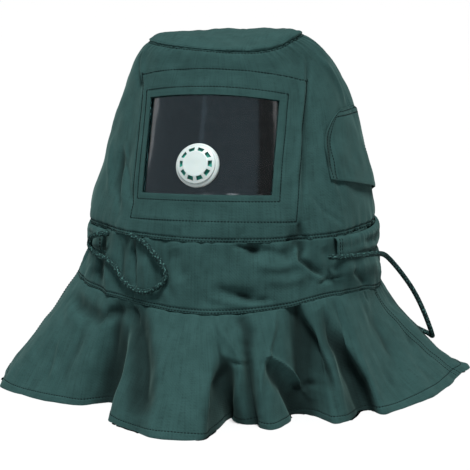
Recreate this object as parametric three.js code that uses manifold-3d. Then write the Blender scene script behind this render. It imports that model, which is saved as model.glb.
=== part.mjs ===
// A canvas sandblasting hood that stands on its hem: a head part with a curved window and a round
// exhalation valve, a gathered neck band, and a wide cape. Millimetres, +Z up. The hem rests on z = 0,
// the face looks along -Y, and an angle is measured in plan from the face towards +X.
import * as THREE from 'three';
import { mergeVertices } from 'three/addons/utils/BufferGeometryUtils.js';
import Module from 'manifold-3d';

const wasm = await Module();
wasm.setup();

// Heights above the hem
const lowerSeamHeight = 116;
const upperSeamHeight = 186;
const crownSeamHeight = 388;
const crownRise = 7;

// Reach from the upright axis
const neckReach = 166;
const hemReach = 265;

// Cloth
const clothWall = 1.8;
const seamGap = 0.3;
const sideSeamAngle = 88;
const bandSeamAngle = -27;
const capeLeftSeamAngle = -82;
const capeRightSeamAngle = 82;

// Window
const windowWidth = 141;
const windowHeight = 101;
const windowCentreHeight = 292;
const windowLean = 20;
const windowSillLean = 6;
const windowSillDrop = 4.5;
const windowCorner = 4;
const lensWall = 1.2;
const lensLap = 8;
const facingWall = 1.2;
const facingSideLap = 19;
const facingTopLap = 23;
const facingBottomLap = 34;

// Exhalation valve in the window
const valveDiameter = 47;
const valveBore = 28;
const valveAcross = -8;
const valveBelowCentre = 26.5;
const valveFlange = 4.5;
const valveCapDiameter = 41;
const valveCapHeight = 6;
const valveWall = 2;
const valveSlots = 10;
const valveSlotWidth = 2.6;
const valveSlotLength = 5.5;
const valveSlotCircle = 30.4;
const valveSides = 20;
const diaphragmWall = 1;
const clampRingWall = 2.5;

// Vent flap on the side
const ventAngle = 82;
const ventSpan = 54;
const ventTopHeight = 314;
const ventBottomHeight = 230;
const ventSlant = 16;
const ventLift = 2;

// Drawcord tunnels under the upper seam
const tunnelDrop = 28;
const tunnelRightFrom = 53;
const tunnelRightTo = 125;
const tunnelLeftFrom = -125;
const tunnelLeftTo = -46;
const cordDiameter = 6;
const cordSides = 8;
const cordStep = 14;

// Facets
const columnStep = 6;

// Sections of the neck and head. level is 0 at the lower seam, 1 at the upper seam and 2 at the crown
// seam; half, front, back and shift are shares of neckReach, and shift moves the widest line back.
const sections = [
  { level: 0, half: 1.006, front: 0.988, back: 1.012, shift: 0 },
  { level: 0.49, half: 0.994, front: 0.964, back: 1, shift: 0 },
  { level: 1, half: 0.975, front: 0.928, back: 0.976, shift: 0 },
  { level: 1.15, half: 0.94, front: 0.898, back: 0.946, shift: 0 },
  { level: 1.32, half: 0.892, front: 0.849, back: 0.91, shift: 0 },
  { level: 1.5, half: 0.831, front: 0.771, back: 0.855, shift: 0 },
  { level: 1.69, half: 0.764, front: 0.681, back: 0.783, shift: -0.012 },
  { level: 1.81, half: 0.704, front: 0.602, back: 0.675, shift: -0.048 },
  { level: 1.9, half: 0.642, front: 0.506, back: 0.542, shift: -0.108 },
  { level: 1.96, half: 0.572, front: 0.404, back: 0.42, shift: -0.193 },
  { level: 2, half: 0.5, front: 0.301, back: 0.301, shift: -0.277 },
];

// How far each seam is lifted from its named height round the hood, as shares of neckReach
const seamLifts = [
  { angle: -180, lower: 0, crown: 0.05 },
  { angle: -130, lower: 0.02, crown: 0.03 },
  { angle: -90, lower: 0.045, crown: 0 },
  { angle: -60, lower: 0.02, crown: -0.012 },
  { angle: -30, lower: 0, crown: -0.03 },
  { angle: 0, lower: -0.03, crown: -0.048 },
  { angle: 28, lower: 0, crown: -0.054 },
  { angle: 50, lower: 0.045, crown: -0.03 },
  { angle: 70, lower: 0.03, crown: 0.02 },
  { angle: 90, lower: -0.02, crown: 0.045 },
  { angle: 130, lower: 0, crown: 0.05 },
  { angle: 180, lower: 0, crown: 0.05 },
];

// Dents and folds of the neck and head. wide is in degrees and tall in levels; lean turns the fold in
// degrees for each level, and depth is a share of neckReach, positive inward.
const dents = [
  { angle: 47, level: 1.45, wide: 7, tall: 0.35, lean: 6, depth: 0.03 },
  { angle: -46, level: 1.4, wide: 8, tall: 0.3, lean: -8, depth: 0.03 },
  { angle: -64, level: 1.3, wide: 7, tall: 0.2, lean: 0, depth: -0.015 },
  { angle: 60, level: 1.78, wide: 14, tall: 0.16, lean: 0, depth: 0.03 },
  { angle: -50, level: 0.5, wide: 5, tall: 0.42, lean: 0, depth: 0.03 },
  { angle: -40, level: 0.5, wide: 4, tall: 0.42, lean: 0, depth: -0.02 },
  { angle: -62, level: 0.45, wide: 5, tall: 0.35, lean: 0, depth: -0.018 },
  { angle: 37, level: 0.92, wide: 4, tall: 0.2, lean: 0, depth: 0.04 },
  { angle: 18, level: 0.85, wide: 6, tall: 0.12, lean: 0, depth: 0.02 },
  { angle: 12, level: 0.22, wide: 12, tall: 0.14, lean: 20, depth: 0.025 },
  { angle: 46, level: 0.5, wide: 6, tall: 0.25, lean: -30, depth: 0.018 },
  { angle: -88, level: 0.78, wide: 34, tall: 0.22, lean: 0, depth: 0.045 },
  { angle: 89, level: 0.78, wide: 34, tall: 0.22, lean: 0, depth: 0.06 },
  { angle: -86, level: 1.06, wide: 36, tall: 0.12, lean: 0, depth: -0.035 },
  { angle: -88, level: -0.05, wide: 34, tall: 0.36, lean: 0, depth: -0.09 },
  { angle: 150, level: 0.5, wide: 7, tall: 0.4, lean: 0, depth: 0.03 },
  { angle: -160, level: 0.5, wide: 8, tall: 0.4, lean: 0, depth: 0.03 },
];

// Folds of the cape, one row for each line that runs from the lower seam to the hem. top is its angle
// at the seam and hem its angle at the hem; reach and belly are shares of hemReach.
const capeFolds = [
  { top: -82, hem: -81, reach: 1.01, belly: 0 },
  { top: -71, hem: -67, reach: 1.023, belly: 0 },
  { top: -58, hem: -54, reach: 0.925, belly: 0 },
  { top: -48, hem: -46, reach: 0.84, belly: 0.01 },
  { top: -40, hem: -40.4, reach: 0.781, belly: 0.02 },
  { top: -35, hem: -36.3, reach: 0.672, belly: -0.02 },
  { top: -30, hem: -30.5, reach: 0.69, belly: -0.02 },
  { top: -24, hem: -22.6, reach: 0.842, belly: 0 },
  { top: -15, hem: -13.3, reach: 0.887, belly: 0.01 },
  { top: -6, hem: -5, reach: 0.92, belly: 0.01 },
  { top: 1, hem: 5, reach: 0.91, belly: 0.01 },
  { top: 3.5, hem: 8.4, reach: 0.87, belly: 0.03 },
  { top: 6, hem: 11.5, reach: 0.67, belly: 0.07 },
  { top: 8, hem: 13.6, reach: 0.585, belly: 0.11 },
  { top: 11, hem: 16.5, reach: 0.71, belly: 0.06 },
  { top: 16, hem: 20.8, reach: 0.766, belly: 0.04 },
  { top: 20, hem: 24, reach: 0.79, belly: 0.03 },
  { top: 27, hem: 31, reach: 0.71, belly: 0.02 },
  { top: 34, hem: 38, reach: 0.657, belly: -0.02 },
  { top: 38, hem: 40.7, reach: 0.68, belly: -0.02 },
  { top: 41.5, hem: 43, reach: 0.8, belly: 0 },
  { top: 47, hem: 47.5, reach: 0.811, belly: 0.01 },
  { top: 52, hem: 56.5, reach: 0.774, belly: -0.02 },
  { top: 55, hem: 59.5, reach: 0.825, belly: 0 },
  { top: 63, hem: 72.7, reach: 0.864, belly: -0.04 },
  { top: 72, hem: 86, reach: 0.913, belly: -0.07 },
  { top: 82, hem: 101.7, reach: 0.989, belly: -0.08 },
  { top: 90, hem: 108.6, reach: 1.057, belly: -0.09 },
  { top: 103, hem: 117, reach: 1, belly: -0.04 },
  { top: 128, hem: 134, reach: 0.92, belly: 0 },
  { top: 150, hem: 152, reach: 0.965, belly: 0.01 },
  { top: 166, hem: 166, reach: 0.9, belly: -0.01 },
  { top: 182, hem: 182, reach: 0.955, belly: 0.01 },
  { top: 198, hem: 197, reach: 0.9, belly: -0.01 },
  { top: 214, hem: 213, reach: 0.96, belly: 0.01 },
  { top: 236, hem: 236, reach: 0.93, belly: 0 },
  { top: 258, hem: 259, reach: 0.98, belly: 0 },
];

// Routes of the two cords, chosen by hand in millimetres. Each starts at the front mouth of its tunnel.
// The left one ends in the upper seam, and the right one in the back mouth of its tunnel.
const cordRouteLeft = [
  [-112, -120, 183.5], [-124.5, -116.5, 182], [-135.5, -109, 177], [-139.5, -103.5, 171.5],
  [-139.5, -104, 165.5], [-133, -108, 160], [-124.5, -113.5, 157], [-114, -123.5, 156.5],
  [-105, -131.5, 153.5], [-97.5, -136.5, 147.5], [-92.5, -140, 141], [-85.5, -144.5, 135.5],
  [-77, -149, 131.5], [-68, -153.5, 129.5], [-58, -157.5, 130.5], [-48, -160, 135], [-40.5, -161.5, 140.5],
  [-36.5, -161.5, 147.5], [-37, -160.5, 155.5], [-43, -158, 163.5], [-50, -155, 170.5],
  [-58, -151, 177.5], [-66, -147.5, 182.5], [-74, -143.5, 185.5], [-82, -140, 187],
];
const cordRouteRight = [
  [127, -106.5, 167], [135, -108.5, 167], [144, -100, 166.5], [151.5, -90, 165.5], [159.5, -72, 163.5],
  [165.5, -51, 160.5], [170, -30, 157], [173, -11, 152.5], [176, 6, 145.5], [182, 19, 135],
  [190, 30, 121.5], [199, 40, 105.5], [207, 48, 88.5], [214, 54, 71], [219.5, 60, 54.5], [221, 69, 42.5],
  [215, 80, 38.5], [202, 90, 48], [186, 102, 61], [169, 115, 73], [153, 124, 86], [139, 124, 104],
  [129, 121, 124], [126.5, 117.5, 142], [127, 112.5, 157], [130, 104.5, 168], [135, 94.5, 172],
  [140, 84, 172],
];

// The crown from its seam to its middle: out is a share of the seam's oval and rise of crownRise
const crownProfile = [
  { out: 1, rise: 0 },
  { out: 1.015, rise: 0.24 },
  { out: 1, rise: 0.46 },
  { out: 0.86, rise: 0.76 },
  { out: 0.5, rise: 0.95 },
];

const fullTurn = 360;
const radians = THREE.MathUtils.degToRad;
const smoothstep = THREE.MathUtils.smoothstep;
const lerp = THREE.MathUtils.lerp;

// A smooth curve through one column of a table, with no overshoot between its rows
function tableCurve(rows, key, column, period = 0) {
  let list = rows.map((row) => [row[key], row[column]]);
  if (period) {
    const shift = column === 'hem' ? period : 0;
    const before = list.slice(-3).map(([at, value]) => [at - period, value - shift]);
    const after = list.slice(0, 3).map(([at, value]) => [at + period, value + shift]);
    list = [...before, ...list, ...after];
  }
  const steps = list.slice(1).map(([at], i) => at - list[i][0]);
  const slopes = steps.map((step, i) => (list[i + 1][1] - list[i][1]) / step);
  const tangents = list.map((_, i) => {
    if (i === 0) return slopes[0];
    if (i === list.length - 1) return slopes[i - 1];
    if (slopes[i - 1] * slopes[i] <= 0) return 0;
    const left = 2 * steps[i] + steps[i - 1];
    const right = steps[i] + 2 * steps[i - 1];
    return (left + right) / (left / slopes[i - 1] + right / slopes[i]);
  });
  return (at) => {
    let i = 0;
    while (i < list.length - 2 && at > list[i + 1][0]) i += 1;
    const share = THREE.MathUtils.clamp((at - list[i][0]) / steps[i], 0, 1);
    const square = share * share;
    const cube = square * share;
    return list[i][1] * (2 * cube - 3 * square + 1)
      + tangents[i] * steps[i] * (cube - 2 * square + share)
      + list[i + 1][1] * (3 * square - 2 * cube)
      + tangents[i + 1] * steps[i] * (cube - square);
  };
}

const sectionHalf = tableCurve(sections, 'level', 'half');
const sectionFront = tableCurve(sections, 'level', 'front');
const sectionBack = tableCurve(sections, 'level', 'back');
const sectionShift = tableCurve(sections, 'level', 'shift');
const lowerLift = tableCurve(seamLifts, 'angle', 'lower');
const crownLift = tableCurve(seamLifts, 'angle', 'crown');
const foldHem = tableCurve(capeFolds, 'top', 'hem', fullTurn);
const foldReach = tableCurve(capeFolds, 'top', 'reach', fullTurn);
const foldBelly = tableCurve(capeFolds, 'top', 'belly', fullTurn);

function wrapped(angle, from = -180) {
  return from + ((((angle - from) % fullTurn) + fullTurn) % fullTurn);
}

function seamHeight(level) {
  return level < 1
    ? lerp(lowerSeamHeight, upperSeamHeight, level)
    : lerp(upperSeamHeight, crownSeamHeight, level - 1);
}

function levelAt(height) {
  return height < upperSeamHeight
    ? (height - lowerSeamHeight) / (upperSeamHeight - lowerSeamHeight)
    : 1 + (height - upperSeamHeight) / (crownSeamHeight - upperSeamHeight);
}

// A point of the outside of the neck and head
function headPoint(angle, level) {
  const turned = wrapped(angle);
  const turn = radians(turned);
  const half = sectionHalf(level) * neckReach;
  const reach = (Math.cos(turn) > 0 ? sectionFront(level) : sectionBack(level)) * neckReach;
  const out = new THREE.Vector3(Math.sin(turn) / half, -Math.cos(turn) / reach, 0).normalize();
  const lift = lowerLift(turned) * Math.max(0, 1 - level) + crownLift(turned) * Math.max(0, level - 1);
  const point = new THREE.Vector3(
    half * Math.sin(turn),
    sectionShift(level) * neckReach - reach * Math.cos(turn),
    seamHeight(level) + lift * neckReach,
  );
  let depth = 0;
  for (const dent of dents) {
    const rise = (level - dent.level) / dent.tall;
    const side = wrapped(turned - dent.angle - dent.lean * (level - dent.level)) / dent.wide;
    depth += dent.depth * Math.exp(-rise * rise - side * side);
  }
  return point.addScaledVector(out, -depth * neckReach);
}

// A point of the outside of the cape, with drop 0 at the lower seam and 1 at the hem
function capePoint(angle, drop) {
  const turned = wrapped(angle, capeLeftSeamAngle);
  const start = headPoint(angle, 0);
  const turn = radians(foldHem(turned));
  const hemPoint = new THREE.Vector3(Math.sin(turn), -Math.cos(turn), 0);
  const bulge = foldBelly(turned) * hemReach * 4 * drop * (1 - drop);
  const point = hemPoint.clone().multiplyScalar(foldReach(turned) * hemReach);
  return start.lerp(point, drop).addScaledVector(hemPoint, bulge);
}

// The outward normal of a surface given as a function of two numbers
function normalOf(surface, across, along, level) {
  const small = 1e-3;
  const right = surface(across + small, along).sub(surface(across - small, along));
  const up = surface(across, along + small).sub(surface(across, along - small));
  const normal = right.cross(up).normalize();
  if (level) normal.setZ(0).normalize();
  return normal;
}

function solidFromRows(points, faces) {
  const geometry = new THREE.BufferGeometry();
  geometry.setAttribute('position', new THREE.Float32BufferAttribute(points.flatMap((p) => p.toArray()), 3));
  geometry.setIndex(faces);
  return geometry;
}

// A cloth wall over a grid of a surface: columns and rows are the two numbers at each grid line.
// out moves the whole wall along the normal. The first and last rows are cut level where levelEnds
// says so, and a ring closes on itself.
function clothPatch({ surface, columns, rows, wall, ring = false, out = 0, flip = false, levelEnds = true }) {
  const points = [];
  const side = (depth) => {
    for (let j = 0; j < rows.length; j += 1) {
      for (const column of columns) {
        const across = typeof column === 'function' ? column(rows[j]) : column;
        const level = levelEnds && (j === 0 || j === rows.length - 1);
        const normal = normalOf(surface, across, rows[j], level);
        if (flip) normal.negate();
        points.push(surface(across, rows[j]).addScaledVector(normal, out - depth));
      }
    }
  };
  side(0);
  side(wall);
  const wide = columns.length;
  const inner = wide * rows.length;
  const faces = [];
  const quad = (a, b, c, d) => {
    if (flip) faces.push(a, c, b, a, d, c);
    else faces.push(a, b, c, a, c, d);
  };
  const lastColumn = ring ? wide : wide - 1;
  for (let j = 0; j < rows.length - 1; j += 1) {
    for (let i = 0; i < lastColumn; i += 1) {
      const next = (i + 1) % wide;
      const low = j * wide;
      const high = low + wide;
      quad(low + i, low + next, high + next, high + i);
      quad(inner + low + i, inner + high + i, inner + high + next, inner + low + next);
    }
    if (!ring) {
      const low = j * wide;
      const high = low + wide;
      quad(high, inner + high, inner + low, low);
      quad(high + wide - 1, low + wide - 1, inner + low + wide - 1, inner + high + wide - 1);
    }
  }
  const top = (rows.length - 1) * wide;
  for (let i = 0; i < lastColumn; i += 1) {
    const next = (i + 1) % wide;
    quad(next, i, inner + i, inner + next);
    quad(top + next, inner + top + next, inner + top + i, top + i);
  }
  return solidFromRows(points, faces);
}

// Grid lines from one number to another, with one on each chosen number between them
function gridLines(from, to, step, chosen = []) {
  const stops = [from, ...chosen.filter((at) => at > from + 0.5 && at < to - 0.5), to];
  const lines = [from];
  for (let i = 1; i < stops.length; i += 1) {
    const count = Math.max(1, Math.round((stops[i] - stops[i - 1]) / step));
    for (let k = 1; k <= count; k += 1) lines.push(lerp(stops[i - 1], stops[i], k / count));
  }
  return lines;
}

function evenLines(from, to, count) {
  return Array.from({ length: count + 1 }, (_, i) => lerp(from, to, i / count));
}

function toManifold(geometry) {
  const bare = geometry.clone();
  bare.deleteAttribute('normal');
  bare.deleteAttribute('uv');
  const merged = mergeVertices(bare, 1e-4);
  return new wasm.Manifold(new wasm.Mesh({
    numProp: 3,
    vertProperties: new Float32Array(merged.attributes.position.array),
    triVerts: new Uint32Array(merged.index.array),
  }));
}

function fromManifold(solid) {
  const mesh = solid.getMesh();
  const geometry = new THREE.BufferGeometry();
  geometry.setAttribute('position', new THREE.BufferAttribute(new Float32Array(mesh.vertProperties), 3));
  geometry.setIndex(new THREE.BufferAttribute(new Uint32Array(mesh.triVerts), 1));
  return geometry;
}

// The hood, and a mesh for each of its pieces
const hood = new THREE.Group();
const canvas = new THREE.MeshStandardMaterial({ color: 0x2f5f57, roughness: 0.95, metalness: 0 });
const braid = new THREE.MeshStandardMaterial({ color: 0x1d4a42, roughness: 0.9, metalness: 0 });
const clear = new THREE.MeshStandardMaterial({
  color: 0xaab4bc, roughness: 0.08, metalness: 0, transparent: true, opacity: 0.35,
});
const whitePlastic = new THREE.MeshStandardMaterial({ color: 0xf0eeee, roughness: 0.4, metalness: 0 });
const tealRubber = new THREE.MeshStandardMaterial({ color: 0x1f8f7d, roughness: 0.6, metalness: 0 });

function addPiece(name, geometry, material) {
  const mesh = new THREE.Mesh(geometry, material);
  mesh.name = name;
  hood.add(mesh);
}

const gapAngle = THREE.MathUtils.radToDeg(seamGap / 2 / neckReach);
const upperGap = (seamGap / 2) / (crownSeamHeight - upperSeamHeight);
const lowerGap = (seamGap / 2) / (upperSeamHeight - lowerSeamHeight);
// The edge of a panel at a side seam, half the gap away from the seam at each level
function sideEdge(angle, way) {
  return (level) => angle + way * THREE.MathUtils.radToDeg(seamGap / 2 / (sectionFront(level) * neckReach));
}
const panelRows = [1 + upperGap, 1.08, 1.18, 1.3, 1.42, 1.54, 1.66, 1.77, 1.86, 1.93, 1.97, 2 - upperGap];
const frontLines = gridLines(-sideSeamAngle, sideSeamAngle, columnStep, [-46, 46]);
const frontColumns = [...frontLines];
frontColumns[0] = sideEdge(-sideSeamAngle, 1);
frontColumns[frontColumns.length - 1] = sideEdge(sideSeamAngle, -1);

// Window: a frame of reference that leans back with the lens
const windowAcross = new THREE.Vector3(1, 0, 0);
const windowUp = new THREE.Vector3(0, Math.sin(radians(windowLean)), Math.cos(radians(windowLean)));
const windowCentre = headPoint(0, levelAt(windowCentreHeight));

// A block that goes through the face from before to behind, with a rounded rectangle as its outline
function faceBlock(lean, left, bottom, right, top, corner) {
  const outline = new THREE.Shape();
  outline.moveTo(left + corner, bottom);
  outline.absarc(right - corner, bottom + corner, corner, -Math.PI / 2, 0, false);
  outline.absarc(right - corner, top - corner, corner, 0, Math.PI / 2, false);
  outline.absarc(left + corner, top - corner, corner, Math.PI / 2, Math.PI, false);
  outline.absarc(left + corner, bottom + corner, corner, Math.PI, Math.PI * 1.5, false);
  const block = new THREE.ExtrudeGeometry(outline, { depth: neckReach, bevelEnabled: false, curveSegments: 2 });
  const up = new THREE.Vector3(0, Math.sin(radians(lean)), Math.cos(radians(lean)));
  const out = windowAcross.clone().cross(up);
  const place = new THREE.Matrix4().makeBasis(windowAcross, up, out);
  place.setPosition(windowCentre.clone().addScaledVector(out, -neckReach / 2));
  return toManifold(block.applyMatrix4(place));
}

// The window's outline grown by a lap on each side. Its head leans back with the lens, and its sill
// lies nearly level.
function windowBlock(sideLap, topLap, bottomLap) {
  const half = windowWidth / 2 + sideLap;
  const top = windowHeight / 2 + topLap;
  const bottom = -windowHeight / 2 - bottomLap;
  const head = faceBlock(windowLean, -half, 2 * bottom, half, top, windowCorner);
  const sill = faceBlock(windowSillLean, -half, bottom - windowSillDrop, half, 2 * top, windowCorner);
  return head.intersect(sill);
}

const windowHole = windowBlock(0, 0, 0);

// Front panel, with the window cut through it
const frontSolid = clothPatch({ surface: headPoint, columns: frontColumns, rows: panelRows, wall: clothWall });
addPiece('front_panel', fromManifold(toManifold(frontSolid).subtract(windowHole)), canvas);

// Back panel
const backLines = gridLines(sideSeamAngle, fullTurn - sideSeamAngle, columnStep * 1.8);
const backColumns = [...backLines];
backColumns[0] = sideEdge(sideSeamAngle, 1);
backColumns[backColumns.length - 1] = sideEdge(fullTurn - sideSeamAngle, -1);
addPiece('back_panel', clothPatch({
  surface: headPoint, columns: backColumns, rows: panelRows, wall: clothWall,
}), canvas);

// Lens, a curved sheet that laps the opening behind the front panel
const faceColumns = frontColumns.filter((at) => Math.abs(at) < 64);
const lensBlock = windowBlock(lensLap, lensLap, lensLap);
const lensDepth = clothWall + seamGap;
const faceRows = [1.08, 1.3, 1.54, 1.77, 1.93];

// Exhalation valve: a frame of reference on the outside of the lens, with its axis square to the lens
const valveLevel = levelAt(windowCentreHeight - valveBelowCentre * windowUp.z);
const valveAngle = THREE.MathUtils.radToDeg(Math.asin(valveAcross / (sectionHalf(valveLevel) * neckReach)));
const valveOut = normalOf(headPoint, valveAngle, valveLevel, false);
const valveRight = windowUp.clone().cross(valveOut).normalize();
const valveUp = valveOut.clone().cross(valveRight);
const valvePlace = new THREE.Matrix4().makeBasis(valveRight, valveUp, valveOut);
valvePlace.setPosition(headPoint(valveAngle, valveLevel).addScaledVector(valveOut, -lensDepth));

// A round piece of the valve, from a closed outline of radius and distance out from the lens
function turnedPiece(outline) {
  const points = [...outline, outline[0]].map(([radius, out]) => new THREE.Vector2(radius, out));
  const geometry = new THREE.LatheGeometry(points, valveSides);
  geometry.rotateX(Math.PI / 2);
  return toManifold(geometry.applyMatrix4(valvePlace));
}

// A wall that follows the face at a depth behind its outside
function faceSheet(depth, wall) {
  return toManifold(clothPatch({
    surface: headPoint, columns: faceColumns, rows: faceRows, wall, out: -depth, levelEnds: false,
  }));
}

const boreRadius = valveBore / 2;
const sleeveRadius = boreRadius + valveWall;
const holeRadius = sleeveRadius + seamGap;
const flangeRadius = valveDiameter / 2;
const lensBack = -lensWall - seamGap;
const clampDepth = lensBack - clampRingWall;
const reachThrough = neckReach / 6;
const lensHole = turnedPiece([[0, -reachThrough], [holeRadius, -reachThrough], [holeRadius, reachThrough],
  [0, reachThrough]]);
const lens = faceSheet(lensDepth, lensWall).intersect(lensBlock).subtract(lensHole);
addPiece('lens', fromManifold(lens), clear);

const flangeBody = turnedPiece([[boreRadius, -valveFlange], [flangeRadius, -valveFlange],
  [flangeRadius, valveFlange * 0.55], [flangeRadius - valveFlange * 0.45, valveFlange],
  [boreRadius, valveFlange]]);
const sleeve = turnedPiece([[boreRadius, clampDepth - valveWall * 1.5], [sleeveRadius, clampDepth - valveWall * 1.5],
  [sleeveRadius, valveFlange / 2], [boreRadius, valveFlange / 2]]);
const behindFlange = faceSheet(lensDepth - seamGap, reachThrough);
addPiece('valve_seat', fromManifold(flangeBody.subtract(behindFlange).add(sleeve)), whitePlastic);

const clampBody = turnedPiece([[holeRadius, clampDepth - valveWall], [flangeRadius - valveWall, clampDepth - valveWall],
  [flangeRadius - valveWall, 0], [holeRadius, 0]]);
const beforeClamp = faceSheet(lensDepth + lensWall + seamGap - reachThrough, reachThrough);
addPiece('valve_clamp_ring', fromManifold(clampBody.subtract(beforeClamp)), whitePlastic);

const capRadius = valveCapDiameter / 2;
const capInside = capRadius - valveWall;
const capBase = valveFlange + seamGap;
const capTop = capBase + valveCapHeight;
addPiece('valve_diaphragm', fromManifold(turnedPiece([[0, capBase], [capInside - seamGap, capBase],
  [capInside - seamGap, capBase + diaphragmWall], [0, capBase + diaphragmWall]])), tealRubber);

let cap = turnedPiece([[capInside, capBase], [capRadius, capBase], [capRadius, capTop - valveWall * 0.6],
  [capRadius - valveWall * 0.6, capTop], [0, capTop], [0, capTop - valveWall], [capInside, capTop - valveWall]]);
for (let i = 0; i < valveSlots; i += 1) {
  const slot = new THREE.BoxGeometry(valveSlotWidth, valveSlotLength, valveWall * 4);
  slot.translate(valveSlotCircle / 2, 0, capTop);
  slot.rotateZ(radians((i * fullTurn) / valveSlots));
  cap = cap.subtract(toManifold(slot.applyMatrix4(valvePlace)));
}
addPiece('valve_cap', fromManifold(cap), whitePlastic);

// Facing, the cloth frame sewn behind the front panel that holds the lens
const facingDepth = lensDepth + lensWall + seamGap;
const facingBlock = windowBlock(facingSideLap, facingTopLap, facingBottomLap);
const facing = faceSheet(facingDepth, facingWall).intersect(facingBlock).subtract(windowHole);
addPiece('window_facing', fromManifold(facing), canvas);

// Columns of the cape at its folds, which the neck band shares so that their seam stays shut
const foldAngles = capeFolds.map((row) => row.top);
const capeFrontLines = gridLines(capeLeftSeamAngle, capeRightSeamAngle, columnStep * 0.66, foldAngles);
const capeBackLines = gridLines(capeRightSeamAngle, fullTurn + capeLeftSeamAngle, columnStep * 1.4, foldAngles);

// The same columns with the first and last moved in by half a seam gap
function gapped(lines) {
  const moved = [...lines];
  moved[0] += gapAngle;
  moved[moved.length - 1] -= gapAngle;
  return moved;
}

// Neck band, one strip whose ends meet at a short upright seam
const bandAngles = [...capeFrontLines, ...capeBackLines.slice(1, -1)]
  .map((angle) => wrapped(angle, bandSeamAngle))
  .filter((angle) => angle > bandSeamAngle + 1 && angle < bandSeamAngle + fullTurn - 1)
  .sort((a, b) => a - b);
addPiece('neck_band', clothPatch({
  surface: headPoint, columns: gapped([bandSeamAngle, ...bandAngles, bandSeamAngle + fullTurn]),
  rows: [lowerGap, 0.2, 0.4, 0.6, 0.8, 1 - lowerGap], wall: clothWall,
}), canvas);

// Cape, a front and a back with a seam at each side. rise is 0 at the hem and 1 at the lower seam.
const capeUp = (angle, rise) => capePoint(angle, 1 - rise);
const capeRows = evenLines(0, 1 - seamGap / 2 / lowerSeamHeight, 6);
for (const [name, lines] of [['cape_front', capeFrontLines], ['cape_back', capeBackLines]]) {
  addPiece(name, clothPatch({ surface: capeUp, columns: gapped(lines), rows: capeRows, wall: clothWall }), canvas);
}

// Crown, an oval panel that pillows over its seam. ring counts the rows of its profile.
const crownCentre = new THREE.Vector3(0, sectionShift(2) * neckReach, crownSeamHeight);
const crownRings = crownProfile.map((row, ring) => ({ ...row, ring }));
const crownOut = tableCurve(crownRings, 'ring', 'out');
const crownUp = tableCurve(crownRings, 'ring', 'rise');
function crownPoint(angle, ring) {
  const edge = headPoint(angle, 2);
  const point = crownCentre.clone().lerp(edge, crownOut(ring));
  return point.setZ(Math.min(point.z, Math.max(edge.z, point.z)) + crownUp(ring) * crownRise + seamGap / 2);
}
const crownColumns = [...frontLines, ...backLines.slice(1, -1)];
const crownPoints = [];
for (const depth of [0, clothWall]) {
  for (const { ring } of crownRings) {
    for (const angle of crownColumns) {
      const normal = normalOf(crownPoint, angle, ring, ring === 0);
      crownPoints.push(crownPoint(angle, ring).addScaledVector(normal, -depth));
    }
  }
}
const crownApex = crownPoints.length;
for (const depth of [0, clothWall]) {
  crownPoints.push(crownCentre.clone().setZ(crownSeamHeight + crownRise + seamGap / 2 - depth));
}
const crownWide = crownColumns.length;
const crownInner = crownWide * crownRings.length;
const crownFaces = [];
for (let i = 0; i < crownWide; i += 1) {
  const next = (i + 1) % crownWide;
  for (let k = 0; k < crownRings.length - 1; k += 1) {
    const low = k * crownWide;
    const high = low + crownWide;
    crownFaces.push(low + i, low + next, high + next, low + i, high + next, high + i);
    crownFaces.push(crownInner + low + next, crownInner + low + i, crownInner + high + i);
    crownFaces.push(crownInner + low + next, crownInner + high + i, crownInner + high + next);
  }
  const last = crownInner - crownWide;
  crownFaces.push(last + i, last + next, crownApex);
  crownFaces.push(crownInner + last + next, crownInner + last + i, crownApex + 1);
  crownFaces.push(next, i, crownInner + i, next, crownInner + i, crownInner + next);
}
addPiece('crown', solidFromRows(crownPoints, crownFaces), canvas);

// Vent flap, a rounded patch on the side whose lower edge stands open
const ventRows = 8;
const ventTopLevel = levelAt(ventTopHeight);
function ventPoint(share, rise) {
  const bottom = levelAt(ventBottomHeight - ventSlant * share);
  const level = lerp(bottom, ventTopLevel, rise);
  const arch = rise < 0.4 ? 1 : Math.sqrt(Math.max(0, 1 - ((rise - 0.4) / 0.6) ** 2.4));
  const angle = ventAngle + share * ventSpan / 2 * Math.max(arch, 0.12);
  const normal = normalOf(headPoint, angle, level, false);
  const edge = 1 - Math.abs(share) ** 4;
  const stand = 2 * seamGap + ventLift * (1 - smoothstep(rise, 0, 0.75)) * (0.25 + 0.75 * edge);
  return headPoint(angle, level).addScaledVector(normal, stand + clothWall);
}
addPiece('vent_flap', clothPatch({
  surface: ventPoint, columns: evenLines(-1, 1, 8), rows: evenLines(0, 0.98, ventRows), wall: clothWall,
  levelEnds: false,
}), canvas);

// Drawcord tunnels
const tunnelBottomLevel = levelAt(upperSeamHeight - tunnelDrop);
function tunnelPoint(angle, rise) {
  const level = lerp(tunnelBottomLevel, 1 - lowerGap * 4, rise);
  const normal = normalOf(headPoint, angle, level, false);
  const room = cordDiameter + 3 * seamGap;
  const bulge = room * Math.sqrt(Math.max(0, 1 - (2 * rise - 1) ** 4));
  return headPoint(angle, level).addScaledVector(normal, 2 * seamGap + clothWall + bulge);
}
const tunnelRows = [0, 0.04, 0.14, 0.36, 0.64, 0.86, 0.96, 1];
for (const [name, from, to] of [
  ['cord_tunnel_right', tunnelRightFrom, tunnelRightTo],
  ['cord_tunnel_left', tunnelLeftFrom, tunnelLeftTo],
]) {
  addPiece(name, clothPatch({
    surface: tunnelPoint, columns: gridLines(from, to, columnStep * 1.4), rows: tunnelRows, wall: clothWall,
    levelEnds: false,
  }), canvas);
}

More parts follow.
